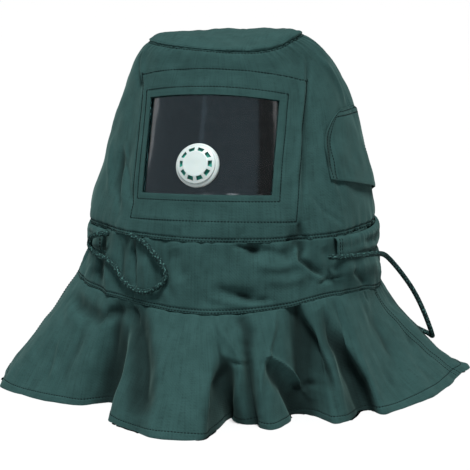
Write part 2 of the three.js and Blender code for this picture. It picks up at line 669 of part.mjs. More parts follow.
// Cords
for (const [name, route] of [['cord_left', cordRouteLeft], ['cord_right', cordRouteRight]]) {
  const path = new THREE.CatmullRomCurve3(route.map((at) => new THREE.Vector3(...at)));
  const section = new THREE.Shape();
  section.absarc(0, 0, cordDiameter / 2, 0, Math.PI * 2, false);
  addPiece(name, new THREE.ExtrudeGeometry(section, {
    steps: Math.round(path.getLength() / cordStep), extrudePath: path, curveSegments: cordSides / 2,
  }), braid);
}

// The origin is below the middle of the cloth, on the surface that the hem rests on
const cloth = new THREE.Box3();
for (const mesh of hood.children) {
  if (mesh.material !== braid) cloth.union(new THREE.Box3().setFromObject(mesh));
}
const middle = cloth.getCenter(new THREE.Vector3());
hood.position.set(-middle.x, -middle.y, 0);

export default hood;
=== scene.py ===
# A dark green canvas sandblasting hood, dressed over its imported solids. Sizes are in millimetres until
# a mesh is made, and every mesh is in metres in the row frame.
import math
import bmesh
import bpy
import numpy as np
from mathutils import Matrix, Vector
from mathutils.bvhtree import BVHTree


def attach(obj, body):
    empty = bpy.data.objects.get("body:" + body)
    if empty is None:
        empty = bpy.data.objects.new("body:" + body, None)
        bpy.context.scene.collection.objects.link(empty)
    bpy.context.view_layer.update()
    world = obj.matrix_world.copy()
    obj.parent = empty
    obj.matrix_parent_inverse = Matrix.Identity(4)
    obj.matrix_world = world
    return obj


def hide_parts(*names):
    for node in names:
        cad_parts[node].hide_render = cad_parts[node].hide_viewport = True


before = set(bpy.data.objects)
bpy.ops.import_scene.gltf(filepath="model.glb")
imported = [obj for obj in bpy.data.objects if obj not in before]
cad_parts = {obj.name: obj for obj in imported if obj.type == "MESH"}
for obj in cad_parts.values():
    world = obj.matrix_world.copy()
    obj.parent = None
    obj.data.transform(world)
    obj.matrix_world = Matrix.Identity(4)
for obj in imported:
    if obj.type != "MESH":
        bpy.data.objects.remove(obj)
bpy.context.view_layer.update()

# Camera, at the angle of the photograph
CAMERA_TURN = 13.5
CAMERA_REACH = 1.586
CAMERA_HEIGHT = 0.470
CAMERA_DIP = 10.9
CAMERA_LENS = 107.6
CAMERA_SENSOR = 36.0
CAMERA_TARGET = (-0.00055, -0.00487)

camera_data = bpy.data.cameras.new("camera")
camera = bpy.data.objects.new("camera", camera_data)
camera_data.lens = CAMERA_LENS
camera_data.sensor_width = CAMERA_SENSOR
camera_turn = math.radians(CAMERA_TURN)
camera.location = (CAMERA_TARGET[0] + CAMERA_REACH * math.sin(camera_turn),
                   CAMERA_TARGET[1] - CAMERA_REACH * math.cos(camera_turn), CAMERA_HEIGHT)
camera.rotation_euler = (math.radians(90 - CAMERA_DIP), 0, camera_turn)
bpy.context.scene.collection.objects.link(camera)
bpy.context.scene.camera = camera

# Named sizes of the solids, in millimetres
LOWER_SEAM = 116.0
UPPER_SEAM = 186.0
CROWN_SEAM = 388.0
CROWN_RISE = 7.0
NECK_REACH = 166.0
HEM_REACH = 265.0
CAPE_LEFT_SEAM = -82.0
CAPE_RIGHT_SEAM = 82.0
SIDE_SEAM = 88.0
BAND_SEAM = -27.0
CLOTH_WALL = 1.8
SEAM_GAP = 0.3
MM = 0.001
MM_PER_DEGREE = 2.85

# From the head's middle to the middle of the part's box
SHIFT = np.array([-0.5475, -4.8735, 0.0])

# Sections of the neck and head: level, half, front, back, shift
SECTIONS = np.array([
    (0, 1.006, 0.988, 1.012, 0),
    (0.49, 0.994, 0.964, 1, 0),
    (1, 0.975, 0.928, 0.976, 0),
    (1.15, 0.94, 0.898, 0.946, 0),
    (1.32, 0.892, 0.849, 0.91, 0),
    (1.5, 0.831, 0.771, 0.855, 0),
    (1.69, 0.764, 0.681, 0.783, -0.012),
    (1.81, 0.704, 0.602, 0.675, -0.048),
    (1.9, 0.642, 0.506, 0.542, -0.108),
    (1.96, 0.572, 0.404, 0.42, -0.193),
    (2, 0.5, 0.301, 0.301, -0.277),
])

# How far the seams are lifted: angle, lower, crown
SEAM_LIFTS = np.array([
    (-180, 0, 0.05), (-130, 0.02, 0.03), (-90, 0.045, 0), (-60, 0.02, -0.012), (-30, 0, -0.03),
    (0, -0.03, -0.048), (28, 0, -0.054), (50, 0.045, -0.03), (70, 0.03, 0.02), (90, -0.02, 0.045),
    (130, 0, 0.05), (180, 0, 0.05),
])

# Dents and folds of the neck and head: angle, level, wide, tall, lean, depth
DENTS = [
    (47, 1.45, 7, 0.35, 6, 0.03), (-46, 1.4, 8, 0.3, -8, 0.03), (-64, 1.3, 7, 0.2, 0, -0.015),
    (60, 1.78, 14, 0.16, 0, 0.03), (-50, 0.5, 5, 0.42, 0, 0.03), (-40, 0.5, 4, 0.42, 0, -0.02),
    (-62, 0.45, 5, 0.35, 0, -0.018), (37, 0.92, 4, 0.2, 0, 0.04), (18, 0.85, 6, 0.12, 0, 0.02),
    (12, 0.22, 12, 0.14, 20, 0.025), (46, 0.5, 6, 0.25, -30, 0.018), (-88, 0.78, 34, 0.22, 0, 0.045),
    (89, 0.78, 34, 0.22, 0, 0.06), (-86, 1.06, 36, 0.12, 0, -0.035), (-88, -0.05, 34, 0.36, 0, -0.09),
    (150, 0.5, 7, 0.4, 0, 0.03), (-160, 0.5, 8, 0.4, 0, 0.03),
]

# Folds of the cape: top, hem, reach, belly
CAPE_FOLDS = np.array([
    (-82, -81, 1.01, 0), (-71, -67, 1.023, 0), (-58, -54, 0.925, 0), (-48, -46, 0.84, 0.01),
    (-40, -40.4, 0.781, 0.02), (-35, -36.3, 0.672, -0.02), (-30, -30.5, 0.69, -0.02),
    (-24, -22.6, 0.842, 0), (-15, -13.3, 0.887, 0.01), (-6, -5, 0.92, 0.01), (1, 5, 0.91, 0.01),
    (3.5, 8.4, 0.87, 0.03), (6, 11.5, 0.67, 0.07), (8, 13.6, 0.585, 0.11), (11, 16.5, 0.71, 0.06),
    (16, 20.8, 0.766, 0.04), (20, 24, 0.79, 0.03), (27, 31, 0.71, 0.02), (34, 38, 0.657, -0.02),
    (38, 40.7, 0.68, -0.02), (41.5, 43, 0.8, 0), (47, 47.5, 0.811, 0.01), (52, 56.5, 0.774, -0.02),
    (55, 59.5, 0.825, 0), (63, 72.7, 0.864, -0.04), (72, 86, 0.913, -0.07), (82, 101.7, 0.989, -0.08),
    (90, 108.6, 1.057, -0.09), (103, 117, 1, -0.04), (128, 134, 0.92, 0), (150, 152, 0.965, 0.01),
    (166, 166, 0.9, -0.01), (182, 182, 0.955, 0.01), (198, 197, 0.9, -0.01), (214, 213, 0.96, 0.01),
    (236, 236, 0.93, 0), (258, 259, 0.98, 0),
])


def table_curve(table, column, period=0.0):
    """A smooth curve through one column of a table, with no overshoot between its rows."""
    at = np.array(table[:, 0], float)
    value = np.array(table[:, column], float)
    if period:
        turn = period if column == 1 else 0.0
        value = np.concatenate([value[-3:] - turn, value, value[:3] + turn])
        at = np.concatenate([at[-3:] - period, at, at[:3] + period])
    steps = np.diff(at)
    slopes = np.diff(value) / steps
    tangents = np.zeros(len(at))
    tangents[0] = slopes[0]
    tangents[-1] = slopes[-1]
    for i in range(1, len(at) - 1):
        if slopes[i - 1] * slopes[i] > 0:
            left = 2 * steps[i] + steps[i - 1]
            right = steps[i] + 2 * steps[i - 1]
            tangents[i] = (left + right) / (left / slopes[i - 1] + right / slopes[i])

    def curve(where):
        where = np.asarray(where, float)
        i = np.clip(np.searchsorted(at, where, side="left") - 1, 0, len(at) - 2)
        share = np.clip((where - at[i]) / steps[i], 0, 1)
        square = share * share
        cube = square * share
        return (value[i] * (2 * cube - 3 * square + 1)
                + tangents[i] * steps[i] * (cube - 2 * square + share)
                + value[i + 1] * (3 * square - 2 * cube)
                + tangents[i + 1] * steps[i] * (cube - square))
    return curve


section_half = table_curve(SECTIONS, 1)
section_front = table_curve(SECTIONS, 2)
section_back = table_curve(SECTIONS, 3)
section_shift = table_curve(SECTIONS, 4)
lower_lift = table_curve(SEAM_LIFTS, 1)
crown_lift = table_curve(SEAM_LIFTS, 2)
fold_hem = table_curve(CAPE_FOLDS, 1, 360.0)
fold_reach = table_curve(CAPE_FOLDS, 2, 360.0)
fold_belly = table_curve(CAPE_FOLDS, 3, 360.0)


def wrapped(angle, start=-180.0):
    return start + np.mod(angle - start, 360.0)


def height_at(level):
    """The height of a level, before the seams are lifted: 0 and 1 bound the neck band, 1 and 2 the head."""
    return np.where(level < 1, LOWER_SEAM + (UPPER_SEAM - LOWER_SEAM) * level,
                    UPPER_SEAM + (CROWN_SEAM - UPPER_SEAM) * (level - 1))


def level_at(height):
    height = np.asarray(height, float)
    return np.where(height < UPPER_SEAM, (height - LOWER_SEAM) / (UPPER_SEAM - LOWER_SEAM),
                    1 + (height - UPPER_SEAM) / (CROWN_SEAM - UPPER_SEAM))


def head_point(angle, level):
    """Points of the outside of the neck and head, in millimetres."""
    angle, level = np.broadcast_arrays(np.asarray(angle, float), np.asarray(level, float))
    turned = wrapped(angle)
    turn = np.radians(turned)
    half = section_half(level) * NECK_REACH
    reach = np.where(np.cos(turn) > 0, section_front(level), section_back(level)) * NECK_REACH
    out = np.stack([np.sin(turn) / half, -np.cos(turn) / reach], -1)
    out /= np.linalg.norm(out, axis=-1, keepdims=True)
    lift = lower_lift(turned) * np.maximum(0, 1 - level) + crown_lift(turned) * np.maximum(0, level - 1)
    depth = np.zeros_like(turned)
    for at, high, wide, tall, lean, deep in DENTS:
        rise = (level - high) / tall
        side = wrapped(turned - at - lean * (level - high)) / wide
        depth += deep * np.exp(-rise * rise - side * side)
    depth *= NECK_REACH
    return np.stack([
        half * np.sin(turn) - out[..., 0] * depth,
        section_shift(level) * NECK_REACH - reach * np.cos(turn) - out[..., 1] * depth,
        height_at(level) + lift * NECK_REACH,
    ], -1)


def cape_point(angle, rise):
    """Points of the outside of the cape: rise is 0 at the hem and 1 at the lower seam."""
    angle, rise = np.broadcast_arrays(np.asarray(angle, float), np.asarray(rise, float))
    turned = wrapped(angle, CAPE_LEFT_SEAM)
    start = head_point(angle, np.zeros_like(angle))
    turn = np.radians(fold_hem(turned))
    outward = np.stack([np.sin(turn), -np.cos(turn), np.zeros_like(turn)], -1)
    drop = (1 - rise)[..., None]
    bulge = fold_belly(turned)[..., None] * HEM_REACH * 4 * drop * (1 - drop)
    hem = outward * (fold_reach(turned) * HEM_REACH)[..., None]
    return start + (hem - start) * drop + outward * bulge


# Cords: their routes, in metres. The hidden way back of the right one lies further round than the solid's
CORD_DIAMETER = 0.006
LEFT_ROUTE = [
    (-0.11255, -0.12487, 0.1835), (-0.12505, -0.12137, 0.182), (-0.13605, -0.11387, 0.177),
    (-0.14005, -0.10837, 0.1715), (-0.14005, -0.10887, 0.1655), (-0.13355, -0.11287, 0.16),
    (-0.12505, -0.11837, 0.157), (-0.11455, -0.12837, 0.1565), (-0.10555, -0.13637, 0.1535),
    (-0.09805, -0.14137, 0.1475), (-0.09305, -0.14487, 0.141), (-0.08605, -0.14937, 0.1355),
    (-0.07755, -0.15387, 0.1315), (-0.06855, -0.15837, 0.1295), (-0.05855, -0.16237, 0.1305),
    (-0.04855, -0.16487, 0.135), (-0.04105, -0.16637, 0.1405), (-0.03705, -0.16637, 0.1475),
    (-0.03755, -0.16537, 0.1555), (-0.04355, -0.16287, 0.1635), (-0.05055, -0.15987, 0.1705),
    (-0.05855, -0.15587, 0.1775), (-0.06655, -0.15237, 0.1825), (-0.07455, -0.14837, 0.1855),
    (-0.08255, -0.14487, 0.187),
]
RIGHT_ROUTE = [
    (0.12645, -0.11137, 0.167), (0.13445, -0.11337, 0.167), (0.14345, -0.10487, 0.1665),
    (0.15095, -0.09487, 0.1655), (0.15895, -0.07687, 0.1635), (0.16495, -0.05587, 0.1605),
    (0.16945, -0.03487, 0.157), (0.17245, -0.01587, 0.1525), (0.17545, 0.00113, 0.1455),
    (0.18145, 0.01413, 0.135), (0.18945, 0.02513, 0.1215), (0.19845, 0.03513, 0.1055),
    (0.20645, 0.04313, 0.0885), (0.21345, 0.04913, 0.071), (0.21895, 0.05513, 0.0545),
    (0.22145, 0.06413, 0.0425), (0.22000, 0.07600, 0.0380), (0.21320, 0.09490, 0.0360),
    (0.19659, 0.11350, 0.0380), (0.17809, 0.12703, 0.0460), (0.16262, 0.13169, 0.0600),
    (0.14904, 0.12729, 0.0810), (0.13845, 0.12013, 0.104), (0.12845, 0.11613, 0.124),
    (0.12595, 0.11263, 0.142),
    (0.12645, 0.10763, 0.157), (0.12945, 0.09963, 0.168), (0.13445, 0.08963, 0.172),
    (0.13945, 0.07913, 0.172),
]


# Curves through points, and tubes along them
CURVE_STEPS = 24


def smooth_path(points, step):
    """Points about step apart on a smooth curve through the given ones."""
    points = np.array(points, float)
    ends = np.vstack([2 * points[0] - points[1], points, 2 * points[-1] - points[-2]])
    share = np.linspace(0, 1, CURVE_STEPS, endpoint=False)[:, None]
    dense = []
    for a, b, c, d in zip(ends[:-3], ends[1:-2], ends[2:-1], ends[3:]):
        dense.append(0.5 * (2 * b + (c - a) * share + (2 * a - 5 * b + 4 * c - d) * share ** 2
                            + (3 * b - a - 3 * c + d) * share ** 3))
    dense = np.vstack([*dense, points[-1:]])
    return resampled(dense, step)


def resampled(points, step):
    """The same line with points an equal length apart, about step."""
    along = np.concatenate([[0], np.cumsum(np.linalg.norm(np.diff(points, axis=0), axis=1))])
    places = np.linspace(0, along[-1], max(2, int(round(along[-1] / step)) + 1))
    return np.stack([np.interp(places, along, points[:, i]) for i in range(3)], -1)


def frames_along(path):
    """Two cross directions that don't twist along a path."""
    tangent = np.gradient(path, axis=0)
    tangent /= np.linalg.norm(tangent, axis=1, keepdims=True)
    side = np.cross(tangent[0], [0.3, 0.2, 1.0])
    sides = []
    for t in tangent:
        side = side - t * (side @ t)
        side /= np.linalg.norm(side)
        sides.append(side.copy())
    sides = np.array(sides)
    return sides, np.cross(tangent, sides)


def tube_faces(rings, sides, start=0):
    """Faces of a tube of rings of points, with a cap at each end."""
    faces = []
    for low in range(start, start + (rings - 1) * sides, sides):
        high = low + sides
        for j in range(sides):
            n = (j + 1) % sides
            faces.append((low + j, low + n, high + n, high + j))
    end = start + rings * sides
    return faces + [tuple(range(start, start + sides))[::-1], tuple(range(end - sides, end))]


def new_piece(name, vertices, faces, material, uv=None):
    """A mesh object in metres that rides on the root body."""
    mesh = bpy.data.meshes.new(name)
    mesh.from_pydata(np.asarray(vertices).tolist(), [], faces)
    if uv is not None:
        layer = mesh.uv_layers.new(name="UVMap")
        layer.data.foreach_set("uv", np.asarray(uv, np.float32).ravel())
    mesh.polygons.foreach_set("use_smooth", [True] * len(mesh.polygons))
    mesh.materials.append(material)
    mesh.update()
    piece = bpy.data.objects.new(name, mesh)
    bpy.context.scene.collection.objects.link(piece)
    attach(piece, "root")
    return piece


# Materials
class Recipe:
    """A new material, with short ways to add nodes to it."""

    def __init__(self, name, **settings):
        self.material = bpy.data.materials.new(name)
        self.material.use_nodes = True
        self.nodes = self.material.node_tree.nodes
        self.links = self.material.node_tree.links
        self.shader = self.nodes["Principled BSDF"]
        for socket, value in settings.items():
            self.shader.inputs[socket.replace("_", " ")].default_value = value

    def added(self, kind, vector=None, **values):
        node = self.nodes.new(kind)
        for socket, value in values.items():
            node.inputs[socket].default_value = value
        if vector:
            self.links.new(vector, node.inputs["Vector"])
        return node

    def flat_place(self):
        """Places on the flat cloth or cord, in metres."""
        node = self.nodes.new("ShaderNodeUVMap")
        node.uv_map = "UVMap"
        return node.outputs["UV"]

    def solid_place(self):
        return self.nodes.new("ShaderNodeTexCoord").outputs["Object"]

    def painted(self, source, socket="Base Color"):
        self.links.new(source, self.shader.inputs[socket])

    def ramp(self, source, stops):
        """A colour ramp fed by source. stops are (place, grey or colour)."""
        node = self.nodes.new("ShaderNodeValToRGB")
        elements = node.color_ramp.elements
        while len(elements) < len(stops):
            elements.new(0.5)
        for element, (place, colour) in zip(elements, stops):
            element.position = place
            element.color = (*colour, 1) if isinstance(colour, tuple) else (colour, colour, colour, 1)
        self.links.new(source, node.inputs["Fac"])
        return node.outputs["Color"]

    def noise(self, vector, scale, detail, stretch=None):
        """A noise texture over vector, stretched per axis."""
        if stretch:
            vector = self.added("ShaderNodeMapping", vector, Scale=stretch).outputs["Vector"]
        return self.added("ShaderNodeTexNoise", vector, Scale=scale, Detail=detail).outputs["Fac"]

    def mixed(self, kind, first, second):
        node = self.nodes.new("ShaderNodeMix")
        node.data_type = "RGBA"
        node.blend_type = kind
        node.inputs["Factor"].default_value = 1.0
        for key, value in (("A", first), ("B", second)):
            self.links.new(value, [s for s in node.inputs if s.name == key and s.type == "RGBA"][0])
        return [s for s in node.outputs if s.type == "RGBA"][0]

    def bumped(self, height, strength, distance, before=None):
        node = self.added("ShaderNodeBump", Strength=strength, Distance=distance)
        self.links.new(height, node.inputs["Height"])
        if before:
            self.links.new(before, node.inputs["Normal"])
        self.painted(node.outputs["Normal"], "Normal")
        return node.outputs["Normal"]


CANVAS_DARK = (0.0122, 0.0335, 0.0320)
CANVAS_MID = (0.0154, 0.0410, 0.0392)
CANVAS_LIGHT = (0.0190, 0.0490, 0.0470)
CANVAS_SHEEN = (0.45, 0.8, 0.72, 1)
WARP_STRETCH = (620, 22, 1)
WEFT_STRETCH = (110, 1400, 1)
TWILL_SCALE = 190.0
# Painted shade in hollows and creases: how deep a point lies, and the share of the canvas colour kept there
PAINTED_SHADE_STOPS = [(0.04, 1.0), (0.45, 0.55), (1.0, 0.28)]


def canvas_material():
    """Twill canvas: fine yarns across and along the cloth, slubs, a faint mottle and painted shade in its
    creases.
    """
    recipe = Recipe("canvas", Roughness=0.9, Specular_IOR_Level=0.08, Sheen_Weight=0.07,
                    Sheen_Roughness=0.45, Sheen_Tint=CANVAS_SHEEN)
    flat = recipe.flat_place()
    mottle = recipe.noise(flat, 60.0, 3.0)
    yarns = recipe.mixed("ADD", recipe.noise(flat, 1.0, 2.0, WARP_STRETCH),
                         recipe.noise(flat, 1.0, 2.0, WEFT_STRETCH))
    base = recipe.ramp(mottle, [(0.20, CANVAS_DARK), (0.52, CANVAS_MID), (0.85, CANVAS_LIGHT)])
    grain = recipe.mixed("MULTIPLY", base, recipe.ramp(yarns, [(0.72, 0.72), (1.0, 1.0)]))
    # Painted shade: the canvas colour is darkened where the cloth lies deep in its hollows and creases
    depth = recipe.nodes.new("ShaderNodeAttribute")
    depth.attribute_name = "painted_shade"
    painted_crease_shade = recipe.ramp(depth.outputs["Fac"], PAINTED_SHADE_STOPS)
    recipe.painted(recipe.mixed("MULTIPLY", grain, painted_crease_shade))
    wave = recipe.added("ShaderNodeTexWave", flat, Scale=TWILL_SCALE, Distortion=1.2, Detail=1.0)
    wave.bands_direction = "DIAGONAL"
    twill = recipe.bumped(wave.outputs["Fac"], 0.25, 0.0003)
    recipe.bumped(yarns, 0.45, 0.0005, twill)
    return recipe.material


def toned_material(recipe, place, tone, stops, grain=None):
    """A material whose colour follows one noise.

    tone is the scale and detail of that noise. grain is the scale, detail, strength and distance of a bump.
    """
    recipe.painted(recipe.ramp(recipe.noise(place, *tone), stops))
    if grain:
        scale, detail, strength, distance = grain
        recipe.bumped(recipe.noise(place, scale, detail), strength, distance)
    return recipe.material


def braid_material():
    """Braided cord: dark green plaits with lighter flecks."""
    recipe = Recipe("braid", Roughness=0.85, Specular_IOR_Level=0.1)
    stops = [(0.40, (0.003, 0.010, 0.010)), (0.55, (0.007, 0.022, 0.021)), (0.64, (0.040, 0.100, 0.092))]
    return toned_material(recipe, recipe.flat_place(), (420.0, 2.0), stops, (420.0, 2.0, 0.4, 0.0004))


def thread_material():
    recipe = Recipe("thread", Roughness=0.85, Specular_IOR_Level=0.1)
    stops = [(0.35, (0.001, 0.004, 0.004)), (0.7, (0.003, 0.010, 0.010))]
    return toned_material(recipe, recipe.solid_place(), (900.0, 2.0), stops)


def plastic_material():
    """White moulded plastic with a faint green cast and fine mould grain."""
    recipe = Recipe("white_plastic", Roughness=0.38, Subsurface_Weight=0.08, Subsurface_Scale=0.004)
    stops = [(0.3, (0.31, 0.36, 0.35)), (0.7, (0.36, 0.41, 0.40))]
    return toned_material(recipe, recipe.solid_place(), (45.0, 2.0), stops, (700.0, 3.0, 0.12, 0.0002))


def rubber_material():
    recipe = Recipe("teal_rubber", Roughness=0.5)
    stops = [(0.3, (0.0, 0.15, 0.11)), (0.7, (0.006, 0.25, 0.19))]
    return toned_material(recipe, recipe.solid_place(), (260.0, 3.0), stops, (260.0, 3.0, 0.15, 0.0003))


def lens_material():
    """Clear plastic sheet, faintly grey, with fine surface wipe marks in its roughness."""
    recipe = Recipe("clear_lens", Base_Color=(0.78, 0.87, 0.93, 1), IOR=1.46, Transmission_Weight=1.0)
    wipe = recipe.noise(recipe.solid_place(), 30.0, 4.0, (1, 1, 6))
    recipe.painted(recipe.ramp(wipe, [(0.3, 0.05), (0.75, 0.13)]), "Roughness")
    return recipe.material


canvas = canvas_material()
braid = braid_material()
thread = thread_material()
white_plastic = plastic_material()
teal_rubber = rubber_material()
clear_lens = lens_material()


# Cords, each a braided tube
BRAID_SIDES = 20
BRAID_STEP = 0.0008
BRAID_PITCH = 0.0105
BRAID_RELIEF = 0.00045
BRAID_END = 0.55
PLAITS = 5


def round_points(path, radius, turn, side, other):
    """Points at radius round each point of a path, for each turn."""
    across, up = np.cos(turn)[None, :, None], np.sin(turn)[None, :, None]
    return path[:, None, :] + radius[..., None] * (across * side[:, None, :] + up * other[:, None, :])


def braided_cord(name, route, node):
    path = smooth_path(route, BRAID_STEP)
    side, other = frames_along(path)
    along = np.arange(len(path)) * np.linalg.norm(path[1] - path[0])
    turn = np.linspace(0, 2 * math.pi, BRAID_SIDES, endpoint=False)
    lay = 2 * math.pi * along[:, None] / BRAID_PITCH
    one = np.cos(PLAITS * turn[None, :] + PLAITS * lay / 2)
    two = np.cos(PLAITS * turn[None, :] - PLAITS * lay / 2)
    radius = CORD_DIAMETER / 2 + BRAID_RELIEF * (np.maximum(one, two) - 1)
    radius[0] *= BRAID_END
    radius[-1] *= BRAID_END
    points = round_points(path, radius, turn, side, other)
    uv = []
    for low, high in zip(along[:-1], along[1:]):
        for j in range(BRAID_SIDES):
            left, right = j * MM, (j + 1) * MM
            uv += [(left, low), (right, low), (right, high), (left, high)]
    uv += [(0, 0)] * (2 * BRAID_SIDES)
    piece = new_piece(name, points.reshape(-1, 3), tube_faces(len(path), BRAID_SIDES), braid, uv)
    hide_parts(node)


braided_cord("left_drawcord", LEFT_ROUTE, "cord_left")
braided_cord("right_drawcord", RIGHT_ROUTE, "cord_right")


# Cloth: steps of its grids near the seams and between them, in millimetres
SEW_STEP = 0.8
SEW_REACH = 9.0
FRONT_STEP = 2.3
BACK_STEP = 3.0
BAND_STEP = 2.2
CAPE_STEP = 2.4
PANEL_WALL = CLOTH_WALL - 0.3
EDGE_SHARE = 0.3
EDGE_ANGLE = 55
RIPPLE_WAVES = 16

# Ripples of each panel: wavelengths, seed and depth, in millimetres
HEAD_RIPPLES = [((70, 70, 90), 11, 1.1), ((26, 26, 40), 12, 0.35)]
BAND_RIPPLES = [((34, 34, 70), 31, 0.9), ((16, 16, 30), 32, 0.3)]
CAPE_RIPPLES = [((60, 60, 110), 41, 1.2), ((20, 20, 46), 42, 0.4)]
CROWN_RIPPLES = [((60, 60, 60), 51, 1.0), ((22, 22, 22), 52, 0.35)]
VENT_RIPPLES = [((24, 24, 40), 61, 0.4)]


def grid_normals(points, ring=False):
    """Outward normals of a grid of points: rows go up and columns go round to the right."""
    if ring:
        across = np.roll(points, -1, 1) - np.roll(points, 1, 1)
    else:
        across = np.gradient(points, axis=1)
    along = np.gradient(points, axis=0)
    normal = np.cross(across, along)
    return normal / np.maximum(np.linalg.norm(normal, axis=-1, keepdims=True), 1e-9)


def graded(start, stop, step, fine=SEW_STEP, reach=SEW_REACH):
    """Places from start to stop, in millimetres, set closer near both ends."""
    near = np.arange(0, reach, fine)
    count = max(2, int(round((stop - start - 2 * reach) / step)))
    middle = np.linspace(start + reach, stop - reach, count + 1)
    return np.concatenate([start + near, middle, stop - near[::-1]])


def ripples(points, layers):
    """A smooth random field over points. Each layer is its wavelength for each axis, seed and depth."""
    total = np.zeros(points.shape[:-1])
    for waves, seed, depth in layers:
        draw = np.random.default_rng(seed)
        field = np.zeros(points.shape[:-1])
        for _ in range(RIPPLE_WAVES):
            way = draw.normal(size=3)
            way /= np.linalg.norm(way)
            size = draw.uniform(0.6, 1.7)
            phase = draw.uniform(0, 2 * math.pi)
            field += np.cos(2 * math.pi * (points / np.array(waves)) @ way / size + phase)
        total += field / math.sqrt(RIPPLE_WAVES / 2) * depth
    return total


def bell(value, wide):
    return np.exp(-(value / wide) ** 2)


def segment_distance(x, y, line):
    """Signed distance to a polyline, positive on its right, and the share along it."""
    best = np.full(x.shape, 1e9)
    signed = np.zeros(x.shape)
    share = np.zeros(x.shape)
    lengths = [math.dist(a, b) for a, b in zip(line[:-1], line[1:])]
    done = 0.0
    for (ax, ay), (bx, by), length in zip(line[:-1], line[1:], lengths):
        dx, dy = (bx - ax) / length, (by - ay) / length
        along = np.clip((x - ax) * dx + (y - ay) * dy, 0, length)
        ex, ey = x - ax - along * dx, y - ay - along * dy
        distance = np.hypot(ex, ey)
        closer = distance < best
        best = np.where(closer, distance, best)
        signed = np.where(closer, np.where(dx * ey - dy * ex > 0, -distance, distance), signed)
        share = np.where(closer, (done + along) / sum(lengths), share)
        done += length
    return signed, share


CREASE_FADE = 0.22


def creased(turned, high, creases):
    """Relief of a table of creases, at angles and at heights or drops as in the table."""
    x = turned * MM_PER_DEGREE
    relief = np.zeros(x.shape)
    for kind, wide, deep, line in creases:
        signed, share = segment_distance(x, high, [(angle * MM_PER_DEGREE, at) for angle, at in line])
        fade = np.clip(share / CREASE_FADE, 0, 1) ** 0.8 * np.clip((1 - share) / CREASE_FADE, 0.25, 1)
        if kind == "valley":
            shape = -bell(signed, wide)
        elif kind == "ridge":
            shape = bell(signed, wide)
        elif kind == "back step":
            shape = -np.where(signed > 0, bell(signed, wide * 0.3), np.exp(-np.abs(signed / wide) ** 1.4))
        elif kind == "fold":
            shape = -bell(signed, wide) + 0.8 * bell(signed - 1.7 * wide, wide)
        else:
            shape = -bell(signed, wide) + 0.8 * bell(signed + 1.7 * wide, wide)
        relief += deep * fade * shape
    return relief


def hollowness(points, normal, reach=34.0, full=5.5):
    """How far each point lies behind the mean of its row on both sides, from 0 to 1."""
    step = np.linalg.norm(np.diff(points, axis=1), axis=-1).mean()
    half = int(np.clip(round(reach / step), 2, points.shape[1] // 3))
    padded = np.pad(points, ((0, 0), (half, half), (0, 0)), mode="edge")
    near = np.stack([padded[:, i:i + points.shape[1]] for i in range(2 * half + 1)]).mean(0)
    behind = ((near - points) * normal).sum(-1)
    return np.clip(behind / full, 0, 1)


def soft_edges(piece, width, angle):
    """Rounds the edges sharper than angle, in degrees. width is in metres."""
    bevel = piece.modifiers.new("soft_edge", "BEVEL")
    bevel.width = width
    bevel.segments = 2
    bevel.limit_method = "ANGLE"
    bevel.angle_limit = math.radians(angle)


